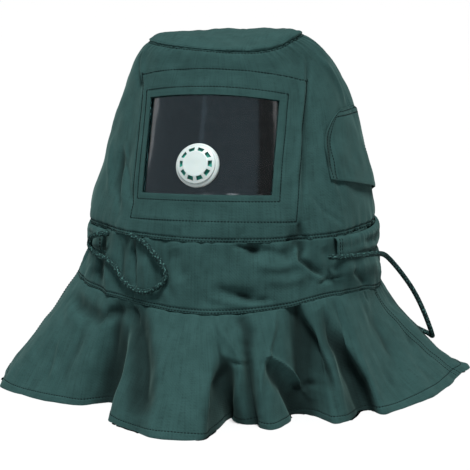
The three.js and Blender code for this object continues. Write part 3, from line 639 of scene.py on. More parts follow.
def shell(name, points, wall, material, ring=False, keep=None, capped=False, stands=False, sunk=0.0):
    """A closed wall from a grid of points on its outside, in millimetres.

    keep says which cells are there. capped closes the last row of a ring with a flat face. Cloth that
    stands has its first row level on the floor. sunk is how deep in its creases each point is, 0 to 1, and
    is the least painted shade it gets there.
    """
    rows, columns = points.shape[:2]
    normal = grid_normals(points, ring)
    # Painted shade: how far each point lies in a hollow or crease, which darkens the canvas colour there
    painted_shade = np.zeros((rows, columns)) if ring else np.maximum(hollowness(points, normal), sunk)
    if stands:
        normal[0, :, 2] = 0
        normal[0] /= np.linalg.norm(normal[0], axis=-1, keepdims=True)
    both = np.concatenate([points.reshape(-1, 3), (points - normal * wall).reshape(-1, 3)])
    if stands:
        both[:, 2] = np.maximum(both[:, 2], 0)
    wide = columns if ring else columns - 1
    if keep is None:
        keep = np.ones((rows - 1, wide), bool)
    index = np.arange(rows * columns).reshape(rows, columns)
    right = np.roll(index, -1, 1) if ring else index[:, 1:]
    left = index if ring else index[:, :-1]
    a, b, c, d = left[:-1], right[:-1], right[1:], left[1:]
    far = rows * columns
    outer = np.stack([a, b, c, d], -1)[keep]
    inner = np.stack([a, d, c, b], -1)[keep] + far
    padded_keep = np.pad(keep, 1)
    if ring:
        padded_keep[:, 0] = padded_keep[:, -2]
        padded_keep[:, -1] = padded_keep[:, 1]
    rims = []
    for beside, (p, q) in ((padded_keep[:-2, 1:-1], (a, b)), (padded_keep[2:, 1:-1], (c, d)),
                           (padded_keep[1:-1, :-2], (d, a)), (padded_keep[1:-1, 2:], (b, c))):
        edge = keep & ~beside
        if capped and beside[-1].sum() == 0 and beside[:-1].all():
            edge[:] = False
        p, q = p[edge], q[edge]
        rims.append(np.stack([q, p, p + far, q + far], -1))
    faces = np.concatenate([outer, inner, *rims])
    step_across = np.linalg.norm(np.diff(points, axis=1), axis=-1).mean(0)
    step_along = np.linalg.norm(np.diff(points, axis=0), axis=-1).mean(1)
    u = np.concatenate([[0], np.cumsum(step_across)])
    if ring:
        u = np.append(u, u[-1] + step_across[-1])
    v = np.concatenate([[0], np.cumsum(step_along)])
    low, at = np.nonzero(keep)
    corners = np.stack([np.stack([u[at], v[low]], -1), np.stack([u[at + 1], v[low]], -1),
                        np.stack([u[at + 1], v[low + 1]], -1), np.stack([u[at], v[low + 1]], -1)], 1)
    flat = np.tile(np.stack([u[:columns], np.zeros(columns)], -1)[None], (rows, 1, 1))
    flat[..., 1] = v[:, None]
    flat = np.concatenate([flat.reshape(-1, 2)] * 2)
    rim = np.concatenate(rims)
    uv = np.concatenate([corners.reshape(-1, 2), corners[:, [0, 3, 2, 1]].reshape(-1, 2),
                         flat[rim.ravel()]]) * MM
    if ring:
        uv = both[faces.ravel(), :2] * MM
    used, faces = np.unique(faces, return_inverse=True)
    vertices = (both[used] + SHIFT) * MM
    faces = faces.reshape(-1, 4).tolist()
    if capped:
        last = np.searchsorted(used, index[-1])
        lid = np.searchsorted(used, index[-1] + far)
        faces += [last.tolist(), lid[::-1].tolist()]
        uv = np.concatenate([uv, both[index[-1], :2] * MM, both[index[-1][::-1], :2] * MM])
    piece = new_piece(name, vertices, faces, material, uv)
    # The painted shade goes to the canvas material as a point attribute
    depth = piece.data.attributes.new("painted_shade", "FLOAT", "POINT")
    depth.data.foreach_set("value", np.concatenate([painted_shade.ravel()] * 2)[used].astype(np.float32))
    soft_edges(piece, wall * MM * EDGE_SHARE, EDGE_ANGLE)
    return piece


def declare_cloth(piece, node):
    """Hides the solid that a cloth piece stands in for."""
    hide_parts(node)


# Face, window and valve places
WINDOW_WIDTH = 141.0
WINDOW_HEIGHT = 101.0
WINDOW_CENTRE = 292.0
WINDOW_LEAN = 20.0
SILL_LEAN = 6.0
SILL_ROLL = 0.8
SILL_DROP = 4.5
HALF_WINDOW = WINDOW_WIDTH / 2
TOP_GUESS = 1.75
SILL_GUESS = 1.2


window_centre = head_point(0, level_at(WINDOW_CENTRE))


def lean_up(lean, roll=0.0):
    """The direction at right angles to a plane that leans back and rolls, in degrees."""
    lean, roll = math.radians(lean), math.radians(roll)
    return np.array([-math.sin(roll), math.sin(lean), math.cos(lean)])


top_up = lean_up(WINDOW_LEAN)
sill_up = lean_up(SILL_LEAN, SILL_ROLL)


def level_on_plane(angle, up, offset, low, high):
    """The level at which the face meets a plane at right angles to up, for each angle."""
    low = np.full(np.shape(angle), low, float)
    high = np.full(np.shape(angle), high, float)
    for _ in range(30):
        middle = (low + high) / 2
        above = (head_point(angle, middle) - window_centre) @ up > offset
        high = np.where(above, middle, high)
        low = np.where(above, low, middle)
    return (low + high) / 2


def angle_at_x(x, level):
    """The angle of the point of the face that is x to the right, for each level."""
    x, level = np.broadcast_arrays(np.asarray(x, float), np.asarray(level, float))
    angle = np.degrees(np.arcsin(np.clip(x / (section_half(level) * NECK_REACH), -0.98, 0.98)))
    for _ in range(6):
        miss = x - head_point(angle, level)[..., 0]
        slope = section_half(level) * NECK_REACH * np.cos(np.radians(angle)) * math.pi / 180
        angle = angle + miss / np.maximum(slope, 0.4)
    return angle


def window_top(angle, lap=0.0):
    """The level of the window's top, or of a line that lies a lap above it."""
    return level_on_plane(angle, top_up, WINDOW_HEIGHT / 2 + lap, 1.4, 1.98)


def window_bottom(angle, lap=0.0):
    """The level of the window's sill, or of a line that lies a lap below it."""
    return level_on_plane(angle, sill_up, -WINDOW_HEIGHT / 2 - SILL_DROP - lap, 1.0, 1.5)


def face_grid(x_places, rows_below, rows_inside, rows_above):
    """Angles and levels of a grid whose lines follow the window's sides, top and sill.

    x_places are distances across the face. rows are shares from the lap below to the sill, from the
    sill to the top, and from the top to the lap above, with each lap in millimetres as their last number.
    """
    x = np.asarray(x_places, float)[None, :]
    below, below_lap = rows_below
    above, above_lap = rows_above
    angle = angle_at_x(x, np.full_like(x, 1.5))
    levels = []
    for _ in range(5):
        bottom = window_bottom(angle if angle.shape[0] == 1 else angle[len(below) - 1][None])
        top = window_top(angle if angle.shape[0] == 1 else angle[-len(above)][None])
        low = bottom - below_lap / (CROWN_SEAM - UPPER_SEAM)
        high = top + above_lap / (CROWN_SEAM - UPPER_SEAM)
        levels = np.concatenate([low + (bottom - low) * np.asarray(below)[:, None],
                                 bottom + (top - bottom) * np.asarray(rows_inside)[:, None],
                                 top + (high - top) * np.asarray(above)[:, None]])
        angle = angle_at_x(np.broadcast_to(x, levels.shape), levels)
    return angle, levels


def face_distances(points):
    """How far points lie across from the window's middle, above its top and below its sill."""
    rel = points - window_centre
    return rel[..., 0], rel @ top_up - WINDOW_HEIGHT / 2, -(rel @ sill_up) - WINDOW_HEIGHT / 2 - SILL_DROP


# Stitch lines round the window, as laps from the opening: left, right, top and bottom
INNER_LAPS = (5.5, 7.5, 8.5, 6.5)
OUTER_LAPS = (12.0, 23.0, 27.5, 27.5)

# Creases of the head and the neck band, in degrees from the face and millimetres above the hem:
# kind, width, depth and line
HEAD_CREASES = [
    ("fold", 4.0, 2.6, [(66, 373), (57, 352), (51, 331), (46, 300), (42, 250), (39, 196)]),
    ("back fold", 5.0, 3.2, [(-66, 376), (-52, 352), (-44, 338)]),
    ("back fold", 6.0, 3.5, [(-52, 276), (-46, 240), (-39, 204)]),
    ("ridge", 6.0, 2.6, [(-65, 282), (-57, 250), (-51, 222)]),
    ("valley", 4.0, 2.2, [(-51, 272), (-38, 244), (-29, 206)]),
    ("ridge", 7.0, 2.9, [(73, 368), (80, 345), (83, 312)]),
    ("valley", 3.0, 1.9, [(44, 236), (50, 214), (60, 196)]),
    ("fold", 5.0, 1.9, [(60, 300), (57, 262), (62, 224)]),
    ("valley", 6.0, 1.6, [(-74, 330), (-76, 290), (-70, 250)]),
    ("fold", 3.5, 2.4, [(39, 188), (38.5, 206)]),
    ("valley", 3.0, 1.3, [(-8, 189), (-10, 200)]),
    ("valley", 3.0, 1.3, [(14, 189), (16, 199)]),
    ("valley", 3.5, 1.6, [(104, 250), (118, 214), (128, 190)]),
    ("fold", 5.0, 1.9, [(132, 330), (140, 280), (136, 220)]),
    ("back fold", 5.0, 1.9, [(-120, 330), (-134, 270), (-128, 210)]),
    ("valley", 6.0, 1.9, [(176, 360), (184, 290), (178, 210)]),
]
BAND_CREASES = [
    ("valley", 4.0, 5.8, [(-29.5, 183), (-28, 158), (-27, 121)]),
    ("ridge", 5.0, 3.5, [(-22.5, 166), (-21, 138), (-20, 122)]),
    ("valley", 9.0, 3.6, [(-10, 178), (-8, 160), (-5, 146)]),
    ("ridge", 5.0, 2.9, [(-49, 178), (-43, 144), (-41, 120)]),
    ("valley", 4.5, 3.8, [(-58, 176), (-54, 150), (-50, 130)]),
    ("valley", 3.5, 2.9, [(-37, 182), (-35, 150), (-34, 122)]),
    ("valley", 6.0, 4.2, [(17, 184), (23, 177), (30, 172), (38, 170)]),
    ("ridge", 5.0, 3.5, [(20, 164), (28, 159), (36, 160)]),
    ("valley", 2.8, 3.8, [(12, 184), (18, 179), (22, 175)]),
    ("fold", 3.5, 4.3, [(38.5, 184), (39, 174), (38, 164), (44, 150), (50, 139)]),
    ("valley", 3.0, 3.8, [(45, 133), (52, 136), (60, 135)]),
    ("valley", 5.0, 4.3, [(64, 142), (70, 130), (75, 121)]),
    ("valley", 5.5, 2.6, [(4, 143), (12, 136), (23, 130)]),
    ("valley", 3.0, 3.8, [(13, 134), (20, 128), (27, 126)]),
    ("ridge", 4.0, 2.3, [(2, 134), (10, 128), (20, 121)]),
    ("ridge", 6.0, 2.6, [(23, 149), (33, 143), (42, 147)]),
    ("fold", 4.0, 2.0, [(-12, 182), (-13, 150), (-9, 122)]),
    ("valley", 5.0, 2.0, [(4, 184), (1, 160), (3, 146)]),
    ("valley", 5.0, 2.6, [(48, 176), (51, 150), (57, 142)]),
    ("fold", 4.0, 2.9, [(-74, 182), (-70, 150), (-72, 120)]),
    ("fold", 4.0, 2.9, [(94, 150), (98, 136), (96, 120)]),
    ("valley", 5.0, 3.5, [(140, 184), (144, 150), (138, 120)]),
    ("valley", 5.0, 3.5, [(168, 184), (164, 150), (170, 120)]),
    ("valley", 5.0, 3.5, [(-150, 184), (-146, 150), (-152, 120)]),
    ("ridge", 5.0, 2.9, [(-168, 184), (-172, 150), (-166, 120)]),
]

# Creases of the cape, in degrees at the lower seam and millimetres down from it
CAPE_CREASES = [
    ("valley", 13.0, 15.0, [(-26, 2), (-22.5, 25), (-18, 55), (-16, 82), (-15, 108)]),
    ("valley", 4.0, 3.0, [(-28, 1), (-27, 12), (-26, 26)]),
    ("valley", 7.0, 6.0, [(-66, 14), (-52, 22), (-42, 24), (-30, 9)]),
    ("ridge", 6.0, 2.4, [(-66, 22), (-56, 36), (-44, 40)]),
    ("fold", 3.0, 2.0, [(-58.5, 56), (-57, 78), (-55.5, 100)]),
    ("ridge", 3.6, 4.0, [(4, -4), (9.5, 24), (12.5, 42), (12, 60), (10, 92), (9, 160)]),
    ("valley", 6.0, 9.0, [(8.5, 40), (6, 66), (4.5, 90), (3, 160)]),
    ("valley", 7.0, 5.0, [(14, -2), (17, 18), (15.5, 36)]),
    ("valley", 4.5, 10.0, [(15.5, 24), (15, 50), (14, 80), (12.5, 160)]),
    ("fold", 2.4, 2.4, [(9, 46), (12.5, 49), (16, 47)]),
    ("ridge", 3.6, 5.0, [(28.5, -6), (25, 20), (22, 40), (18.5, 62), (16.5, 100)]),
    ("back step", 11.0, 8.0, [(35, -14), (38, 20), (40.5, 42), (42.5, 66), (44, 92)]),
    ("ridge", 2.6, 6.5, [(19, 46), (22.5, 43), (26.5, 54), (32, 77), (38, 97)]),
    ("valley", 6.5, 10.0, [(21, 44), (24, 62), (28, 84), (32, 112), (34, 160)]),
    ("valley", 3.0, 3.0, [(31, 84), (36, 88), (40, 80)]),
    ("back step", 12.0, 12.0, [(46, 8), (48.5, 33), (51, 56), (52.7, 84), (52.7, 160)]),
    ("ridge", 4.0, 3.5, [(49, 14), (52, 40), (54.5, 70), (56, 160)]),
    ("valley", 8.0, 2.0, [(66, 6), (68, 40), (71, 80)]),
    ("valley", 2.4, 1.6, [(71, 1), (71, 8), (71.5, 14)]),
    ("fold", 5.0, 2.0, [(112, 10), (114, 50), (113, 90)]),
    ("valley", 6.0, 4.0, [(140, 6), (141, 50), (140, 110)]),
    ("valley", 6.0, 4.0, [(174, 6), (173, 50), (175, 110)]),
    ("valley", 6.0, 4.0, [(206, 6), (205, 50), (206, 110)]),
    ("valley", 6.0, 3.0, [(246, 6), (247, 50), (246, 110)]),
]


# Gathers beside the seams: pitch, depth and reach in millimetres, then seed
NECK_GATHERS = (13, 0.8, 9, 21)
HEAD_TOP_GATHERS = (10, 0.5, 7, 22)
BAND_TOP_GATHERS = (11, 0.5, 8, 33)
BAND_FOOT_GATHERS = (13, 0.25, 8, 34)
CAPE_GATHERS = (13, 1.1, 9, 43)
HEM_GATHERS = (22, 0.25, 9, 44)
CROWN_GATHERS = (11, 0.45, 7, 53)

# Ridges and grooves along the seams: height, how far to each side, and width
SIDE_WELTS = ((0.5, 2.2, 1.6), (-0.5, 0, 1.0))
FRAME_WELTS = ((-0.8, 0, 0.9), (0.3, 2.4, 1.3))
SEAM_GROOVE = (-0.8, 0, 1.2)

# Millimetres round the crown, the head's top and the hem for each degree
CROWN_PER_DEGREE = 1.6
HEAD_TOP_PER_DEGREE = 1.7
HEM_PER_DEGREE = 4.2


def welt(distance, high, at, wide):
    return high * bell(np.abs(distance) - at, wide)


def pucker(along, from_seam, pitch, depth, reach, seed):
    """Small gathers that run away from a seam."""
    draw = np.random.default_rng(seed)
    waves = sum(np.cos(2 * math.pi * along / (pitch * size) + phase)
                for size, phase in zip(draw.uniform(0.7, 1.6, 5), draw.uniform(0, 6.28, 5)))
    return depth * waves / 2.2 * np.exp(-np.abs(from_seam) / reach)


SEAM_LINES = (1.1, 3.9)
THREAD_SHIFT = 0.15
FACE_ANGLE = 60
HEM_LINE = 6.5


def sewn_strip(distance, wide=5.0, rise=0.7, lines=SEAM_LINES):
    """A lapped seam strip: raised next to the join, with a groove at each row of stitches."""
    raised = rise * (1 - 1 / (1 + np.exp(-(distance - wide) / -0.35)))
    grooves = sum(0.45 * bell(distance - line, 0.6) for line in lines)
    return np.where(distance > -1e-6, raised - grooves * (distance < wide + 2), 0)


def head_relief(angle, level, points):
    """Outward relief of the head panels in millimetres, on top of the solids' dents."""
    turned = wrapped(angle)
    high = height_at(level)
    relief = creased(turned, high, HEAD_CREASES)
    across, over, under = face_distances(points)
    beside = np.abs(across) - HALF_WINDOW
    off_window = np.maximum(np.maximum(beside, over), under)
    at_front = np.abs(turned) < FACE_ANGLE
    calm = np.where(at_front, np.clip((off_window - 3) / 22, 0, 1), 1.0)
    relief += ripples(points, HEAD_RIPPLES) * (0.25 + 0.75 * calm)
    above = high - UPPER_SEAM
    below = CROWN_SEAM - high
    relief += pucker(turned * MM_PER_DEGREE, above, *NECK_GATHERS)
    relief += pucker(turned * HEAD_TOP_PER_DEGREE, below, *HEAD_TOP_GATHERS)
    relief += sewn_strip(above)
    relief += sewn_strip(below, lines=SEAM_LINES[:1], wide=2.6, rise=0.4)
    side = (np.abs(turned) - SIDE_SEAM) * MM_PER_DEGREE
    relief += sum(welt(side, *row) for row in SIDE_WELTS)
    for laps in (INNER_LAPS, OUTER_LAPS):
        lap = np.maximum(np.where(across < 0, beside - laps[0], beside - laps[1]),
                         np.maximum(over - laps[2], under - laps[3]))
        for row in FRAME_WELTS:
            relief += np.where(at_front, welt(lap, *row), 0)
    return np.where(at_front & (off_window < 6), np.maximum(relief, -0.15), relief)


def band_relief(angle, level, points):
    turned = wrapped(angle)
    high = height_at(level)
    relief = creased(turned, high, BAND_CREASES)
    relief += ripples(points, BAND_RIPPLES)
    relief += pucker(turned * MM_PER_DEGREE, UPPER_SEAM - high, *BAND_TOP_GATHERS)
    relief += pucker(turned * MM_PER_DEGREE, high - LOWER_SEAM, *BAND_FOOT_GATHERS)
    relief += sewn_strip(high - LOWER_SEAM)
    return relief + welt(UPPER_SEAM - high, *SEAM_GROOVE)


# The swell of the cape below its right shoulder: height, angle, its reach, drop and its reach
RIGHT_SWELL = (9.0, 90, 18, 56, 34)


def cape_relief(angle, rise, points):
    turned = wrapped(angle, CAPE_LEFT_SEAM)
    drop = (1 - rise) * LOWER_SEAM
    relief = creased(turned, drop, CAPE_CREASES)
    relief += ripples(points, CAPE_RIPPLES) * np.clip(drop / 14, 0.15, 1)
    gathered = np.where(turned < -30, 0.08, np.where(turned > 50, 0.1, 0.5))
    gathered = np.where(turned > CAPE_RIGHT_SEAM, 1, gathered)
    relief += pucker(turned * MM_PER_DEGREE, drop, *CAPE_GATHERS) * gathered
    hem = LOWER_SEAM - drop
    relief += pucker(turned * HEM_PER_DEGREE, hem, *HEM_GATHERS)
    swell, at, wide, low, tall = RIGHT_SWELL
    relief += swell * bell(turned - at, wide) * bell(drop - low, tall)
    relief += 0.5 / (1 + np.exp((hem - HEM_LINE - 1) / 0.5)) - 0.6 * bell(hem - HEM_LINE, 0.9)
    return relief + welt(drop, *SEAM_GROOVE)


def dressed(points, relief, ring=False):
    """The grid moved out along its normals by its relief."""
    return points + grid_normals(points, ring) * relief[..., None]


# Panels of the head and the neck band
SIDE_COLUMNS = 92
BACK_COLUMNS = 166
BAND_COLUMNS = 440
CAPE_FRONT_COLUMNS = 420
CAPE_BACK_COLUMNS = 330

# Angles and levels between which the rows of the face follow the window
SIDE_START = 31
FOLLOW_ANGLE = 36
FOLLOW_END = 75
FACE_LEVELS = (1.21, 1.78)
ROW_GAP = 0.004
SEAM_ANGLE = math.degrees(SEAM_GAP / 2 / (0.8 * NECK_REACH))


def head_rows(step):
    return level_at(graded(UPPER_SEAM + SEAM_GAP / 2, CROWN_SEAM - SEAM_GAP / 2, step))


def head_cloth(name, node, angle, level, relief_of, keep=None):
    """A panel of the head or the neck band over a grid of angles and levels."""
    points = head_point(angle, level)
    piece = shell(name, dressed(points, relief_of(angle, level, points)), PANEL_WALL, canvas, keep=keep)
    declare_cloth(piece, node)


def front_panel():
    inside = np.linspace(-HALF_WINDOW, HALF_WINDOW, int(WINDOW_WIDTH / FRONT_STEP) + 1)
    edge = SIDE_SEAM - SEAM_ANGLE
    rows_head = head_rows(FRONT_STEP)
    # The level of the sill and of the top before the rows are bent to follow them
    sill, top = 1.245, 1.745
    below = rows_head[rows_head < sill - ROW_GAP]
    above = rows_head[rows_head > top + ROW_GAP]
    middle = np.linspace(sill, top, int(round((top - sill) * (CROWN_SEAM - UPPER_SEAM) / FRONT_STEP)) + 1)
    base_rows = np.concatenate([below, middle, above])
    side_angles = np.linspace(SIDE_START, edge, SIDE_COLUMNS + 1)[1:]
    base_angle = np.concatenate([-side_angles[::-1], angle_at_x(inside, np.full_like(inside, 1.5)),
                                 side_angles])
    angle = np.broadcast_to(base_angle, (len(base_rows), len(base_angle))).copy()
    left = SIDE_COLUMNS
    right = SIDE_COLUMNS + len(inside) - 1
    side_share = (side_angles - SIDE_START) / (edge - SIDE_START)
    for _ in range(4):
        clipped = np.clip(angle, -FOLLOW_ANGLE, FOLLOW_ANGLE)
        bottom_level = window_bottom(clipped)
        top_level = window_top(clipped)
        share = base_rows[:, None]
        low = 1 + (share - 1) * (bottom_level - 1) / (sill - 1)
        mid = bottom_level + (share - sill) * (top_level - bottom_level) / (top - sill)
        high = 2 - (2 - share) * (2 - top_level) / (2 - top)
        fade = np.clip((FOLLOW_END - np.abs(angle)) / (FOLLOW_END - FOLLOW_ANGLE), 0, 1)
        warped = np.where(share < sill - 1e-9, low, np.where(share > top + 1e-9, high, mid))
        level = share + (warped - share) * fade
        held = np.clip(level, *FACE_LEVELS)
        inner = angle_at_x(np.broadcast_to(inside, (len(base_rows), len(inside))),
                           np.broadcast_to(held[:, left:right + 1], (len(base_rows), len(inside))))
        angle[:, left:right + 1] = inner
        angle[:, right + 1:] = inner[:, -1:] + (edge - inner[:, -1:]) * side_share[None]
        angle[:, :left] = inner[:, :1] + (-edge - inner[:, :1]) * side_share[None, ::-1]
    keep = np.ones((len(base_rows) - 1, len(base_angle) - 1), bool)
    keep[len(below):len(below) + len(middle) - 1, left:right] = False
    head_cloth("front_cloth", "front_panel", angle, level, head_relief, keep)


front_panel()

SIDES_APART = (SIDE_SEAM + SEAM_ANGLE, 360 - SIDE_SEAM - SEAM_ANGLE)
back_angle, back_level = np.meshgrid(np.linspace(*SIDES_APART, BACK_COLUMNS), head_rows(BACK_STEP))
head_cloth("back_cloth", "back_panel", back_angle, back_level, head_relief)

JOIN_ANGLE = 0.06
JOIN_GAP = 0.2
band_columns = np.linspace(BAND_SEAM + JOIN_ANGLE, BAND_SEAM + 360 - JOIN_ANGLE, BAND_COLUMNS)
band_rows = level_at(graded(LOWER_SEAM + JOIN_GAP, UPPER_SEAM - JOIN_GAP, BAND_STEP))
band_angle, band_level = np.meshgrid(band_columns, band_rows)
head_cloth("neck_cloth", "neck_band", band_angle, band_level, band_relief)


# How deep a crease is that gets the full painted shade, in millimetres, and the most painted shade it gets
SUNK_DEPTH = 11
SUNK_MOST = 0.85


def cape(name, node, start, stop, count):
    columns = np.linspace(start + JOIN_ANGLE, stop - JOIN_ANGLE, count)
    drops = graded(JOIN_GAP, LOWER_SEAM, CAPE_STEP, reach=10.0)
    rows = 1 - drops[::-1] / LOWER_SEAM
    angle, rise = np.meshgrid(columns, rows)
    points = cape_point(angle, rise)
    moved = dressed(points, cape_relief(angle, rise, points))
    moved[0, :, 2] = 0
    relief = creased(wrapped(angle, CAPE_LEFT_SEAM), (1 - rise) * LOWER_SEAM, CAPE_CREASES)
    sunk = np.clip(-relief / SUNK_DEPTH, 0, SUNK_MOST)
    piece = shell(name, moved, CLOTH_WALL, canvas, stands=True, sunk=sunk)
    declare_cloth(piece, node)
    return moved


cape_front = cape("cape_front_cloth", "cape_front", CAPE_LEFT_SEAM, CAPE_RIGHT_SEAM,
                  CAPE_FRONT_COLUMNS)
cape_back = cape("cape_back_cloth", "cape_back", CAPE_RIGHT_SEAM, 360 + CAPE_LEFT_SEAM,
                 CAPE_BACK_COLUMNS)


# Crown: from its seam to its middle, out is a share of the seam's oval and rise of the crown's rise
CROWN_PROFILE = np.array([
    (0, 1, 0), (1, 1.015, 0.24), (2, 1, 0.46), (3, 0.86, 0.76), (4, 0.5, 0.95), (5, 0, 1),
])

# Rings of the crown: the one at its folded edge, the last one before its lid, and rows up to each
CROWN_FOLD = 2
CROWN_LAST = 4.96
CROWN_SIDE_ROWS = 12
CROWN_TOP_ROWS = 34
CROWN_COLUMNS = 360

# Its groove and ridge: height, ring and width in rings. Its dent: a line in millimetres, depth and width
CROWN_WELTS = ((-0.5, 2.0, 0.16), (0.35, 1.3, 0.5))
CROWN_DENT = [(33, -150), (36, -88), (44, -40)]
CROWN_DENT_DEPTH = 1.6
CROWN_DENT_WIDE = 3.5
crown_out = table_curve(CROWN_PROFILE, 1)
crown_up = table_curve(CROWN_PROFILE, 2)
crown_centre = np.array([0, float(section_shift(2)) * NECK_REACH, CROWN_SEAM])


def crown_point(angle, ring):
    """Points of the outside of the crown. ring runs from 0 at its seam to 5 at its middle."""
    edge = head_point(angle, np.full_like(angle, 2.0))
    point = crown_centre + (edge - crown_centre) * crown_out(ring)[..., None]
    point[..., 2] += crown_up(ring) * CROWN_RISE + SEAM_GAP / 2
    return point


def crown():
    columns = np.linspace(-180, 180, CROWN_COLUMNS, endpoint=False)
    rings = np.concatenate([np.linspace(0, CROWN_FOLD, CROWN_SIDE_ROWS),
                            np.linspace(CROWN_FOLD, CROWN_LAST, CROWN_TOP_ROWS)[1:]])
    angle, ring = np.meshgrid(columns, rings)
    points = crown_point(angle, ring)
    inward = np.clip((ring - 1.2) / 0.8, 0, 1)
    relief = ripples(points, CROWN_RIPPLES) * inward
    relief += pucker(angle * CROWN_PER_DEGREE, ring * 5, *CROWN_GATHERS)
    for high, at, wide in CROWN_WELTS:
        relief += high * bell(ring - at, wide)
    from_dent = segment_distance(points[..., 0], points[..., 1], CROWN_DENT)[0]
    relief -= CROWN_DENT_DEPTH * bell(from_dent, CROWN_DENT_WIDE) * inward
    piece = shell("crown_cloth", dressed(points, relief, True), PANEL_WALL, canvas, ring=True, capped=True)
    declare_cloth(piece, "crown")


crown()


# Vent flap: a rounded patch on the side, open below
VENT_ANGLE = 82.0
VENT_SPAN = 54.0
VENT_TOP = 314.0
VENT_BOTTOM = 230.0
VENT_SLANT = 16.0
VENT_LIFT = 2.0
VENT_STRAIGHT = 0.4
VENT_TALL = 80
VENT_WIDE = 2.6
VENT_LINES = (3.0, 9.0)
VENT_WALL = CLOTH_WALL - 0.4


NORMAL_STEP = 0.02
SEWN_NORMAL_STEP = 0.05


def surface_normal(surface, angle, level, step=NORMAL_STEP):
    """The outward normal of a surface of angles and levels. step is in degrees."""
    right = surface(angle + step, level) - surface(angle - step, level)
    up = surface(angle, level + step / 50) - surface(angle, level - step / 50)
    normal = np.cross(right, up)
    return normal / np.linalg.norm(normal, axis=-1, keepdims=True)


def off_head(angle, level, distance):
    """Points at a distance out from the head."""
    return head_point(angle, level) + surface_normal(head_point, angle, level) * distance


def vent_place(share, rise):
    """Angles and levels of the flap: share is -1 to 1 across it and rise 0 to 1 up it."""
    bottom = level_at(VENT_BOTTOM - VENT_SLANT * share)
    level = bottom + (level_at(VENT_TOP) - bottom) * rise
    curved = np.maximum(rise - VENT_STRAIGHT, 0) / (1 - VENT_STRAIGHT)
    arch = np.where(rise < VENT_STRAIGHT, 1, np.sqrt(np.maximum(0, 1 - curved ** 2.4)))
    return VENT_ANGLE + share * VENT_SPAN / 2 * np.maximum(arch, 0.12), level


def vent_flap():
    rows = np.concatenate([np.linspace(0, 0.9, 60), np.linspace(0.9, 0.98, 22)[1:]])
    share, rise = np.meshgrid(np.linspace(-1, 1, 81), rows)
    angle, level = vent_place(share, rise)
    high = np.clip(rise / 0.75, 0, 1)
    fade = 1 - high ** 2 * (3 - 2 * high)
    edge = 1 - np.abs(share) ** 4
    stand = 2 * SEAM_GAP + VENT_LIFT * fade * (0.25 + 0.75 * edge) + CLOTH_WALL
    base = off_head(angle, level, stand[..., None])
    relief = head_relief(angle, level, base) * 0.9 + ripples(base, VENT_RIPPLES)
    lap = np.minimum((1 - np.abs(share)) * VENT_SPAN / 2 * VENT_WIDE, (1 - rise) * VENT_TALL)
    for line in VENT_LINES:
        relief -= 0.5 * bell(lap - line, 0.9)
    relief += 0.3 * bell(rise * VENT_TALL - 2.5, 2.0)
    moved = dressed(base, relief)
    declare_cloth(shell("vent_cloth", moved, VENT_WALL, canvas), "vent_flap")
    return moved


vent_surface = vent_flap()


# Drawcord tunnels
TUNNEL_DROP = 28.0
TUNNEL_TOP = 0.6
TUNNEL_ROOM = CORD_DIAMETER / MM
MOUTH_HEM = 7.5
MOUTH_LINES = (4.0, 7.0)


def tunnel_point(angle, rise):
    """Points of the outside of a tunnel: rise is 0 at its lower edge and 1 at its upper one."""
    low = level_at(UPPER_SEAM - TUNNEL_DROP)
    level = low + (level_at(UPPER_SEAM - TUNNEL_TOP) - low) * rise
    bulge = (TUNNEL_ROOM + 3 * SEAM_GAP) * np.sqrt(np.maximum(0, 1 - (2 * rise - 1) ** 4))
    return off_head(angle, level, (2 * SEAM_GAP + CLOTH_WALL + bulge)[..., None])


def tunnel(name, node, start, stop, seed):
    rows = np.concatenate([np.linspace(0, 0.12, 12), np.linspace(0.12, 0.88, 26)[1:],
                           np.linspace(0.88, 1, 12)[1:]])
    share, rise = np.meshgrid(np.linspace(0, 1, 130), rows)
    angle = start + (stop - start) * share
    points = tunnel_point(angle, rise)
    inside = np.sin(np.pi * rise) ** 0.6
    relief = ripples(points, [((26, 26, 30), seed, 0.8)]) * inside
    relief += pucker(angle * MM_PER_DEGREE, (1 - rise) * TUNNEL_DROP, 10, 0.9, 9, seed + 1) * inside
    for edge in (share, 1 - share):
        mm = edge * abs(stop - start) * MM_PER_DEGREE
        relief += 0.5 / (1 + np.exp((mm - MOUTH_HEM) / 0.6)) * inside
        relief -= 0.5 * sum(bell(mm - line, 0.8) for line in MOUTH_LINES) * inside
    moved = dressed(points, relief)
    declare_cloth(shell(name, moved, PANEL_WALL, canvas), node)
    return moved


right_tunnel = tunnel("right_tunnel", "cord_tunnel_right", 53.0, 125.0, 71)
left_tunnel = tunnel("left_tunnel", "cord_tunnel_left", -125.0, -46.0, 75)


# Lens and facing behind the face
LENS_DEPTH = CLOTH_WALL + SEAM_GAP
LENS_WALL = 1.2
LENS_LAP = 8.0
LENS_HOLE = 17.5
FACING_WALL = 1.2
FACING_DEPTH = LENS_DEPTH + LENS_WALL + SEAM_GAP
FACING_SIDE = 19.0
FACING_BELOW = 34.0
FACING_ABOVE = 23.0
FACING_ROWS = 13
FACING_INSIDE = 44
FACING_COLUMNS = 9

# The valve's place on the lens, in millimetres across from the window's middle and below it
VALVE_ACROSS = -8.0
VALVE_BELOW = 26.5
valve_level = level_at(WINDOW_CENTRE - VALVE_BELOW * top_up[2])
valve_angle = np.degrees(np.arcsin(VALVE_ACROSS / (section_half(valve_level) * NECK_REACH)))
valve_out = surface_normal(head_point, valve_angle, valve_level)
valve_right = np.cross(top_up, valve_out)
valve_right /= np.linalg.norm(valve_right)
valve_up = np.cross(valve_out, valve_right)
valve_base = off_head(valve_angle, valve_level, -LENS_DEPTH)


def window_rows(below, below_lap, inside, above, above_lap):
    """Rows for face_grid, from how many there are in each band and how far the laps reach."""
    return ((np.linspace(0, 1, below)[:-1], below_lap), np.linspace(0, 1, inside),
            (np.linspace(0, 1, above)[1:], above_lap))


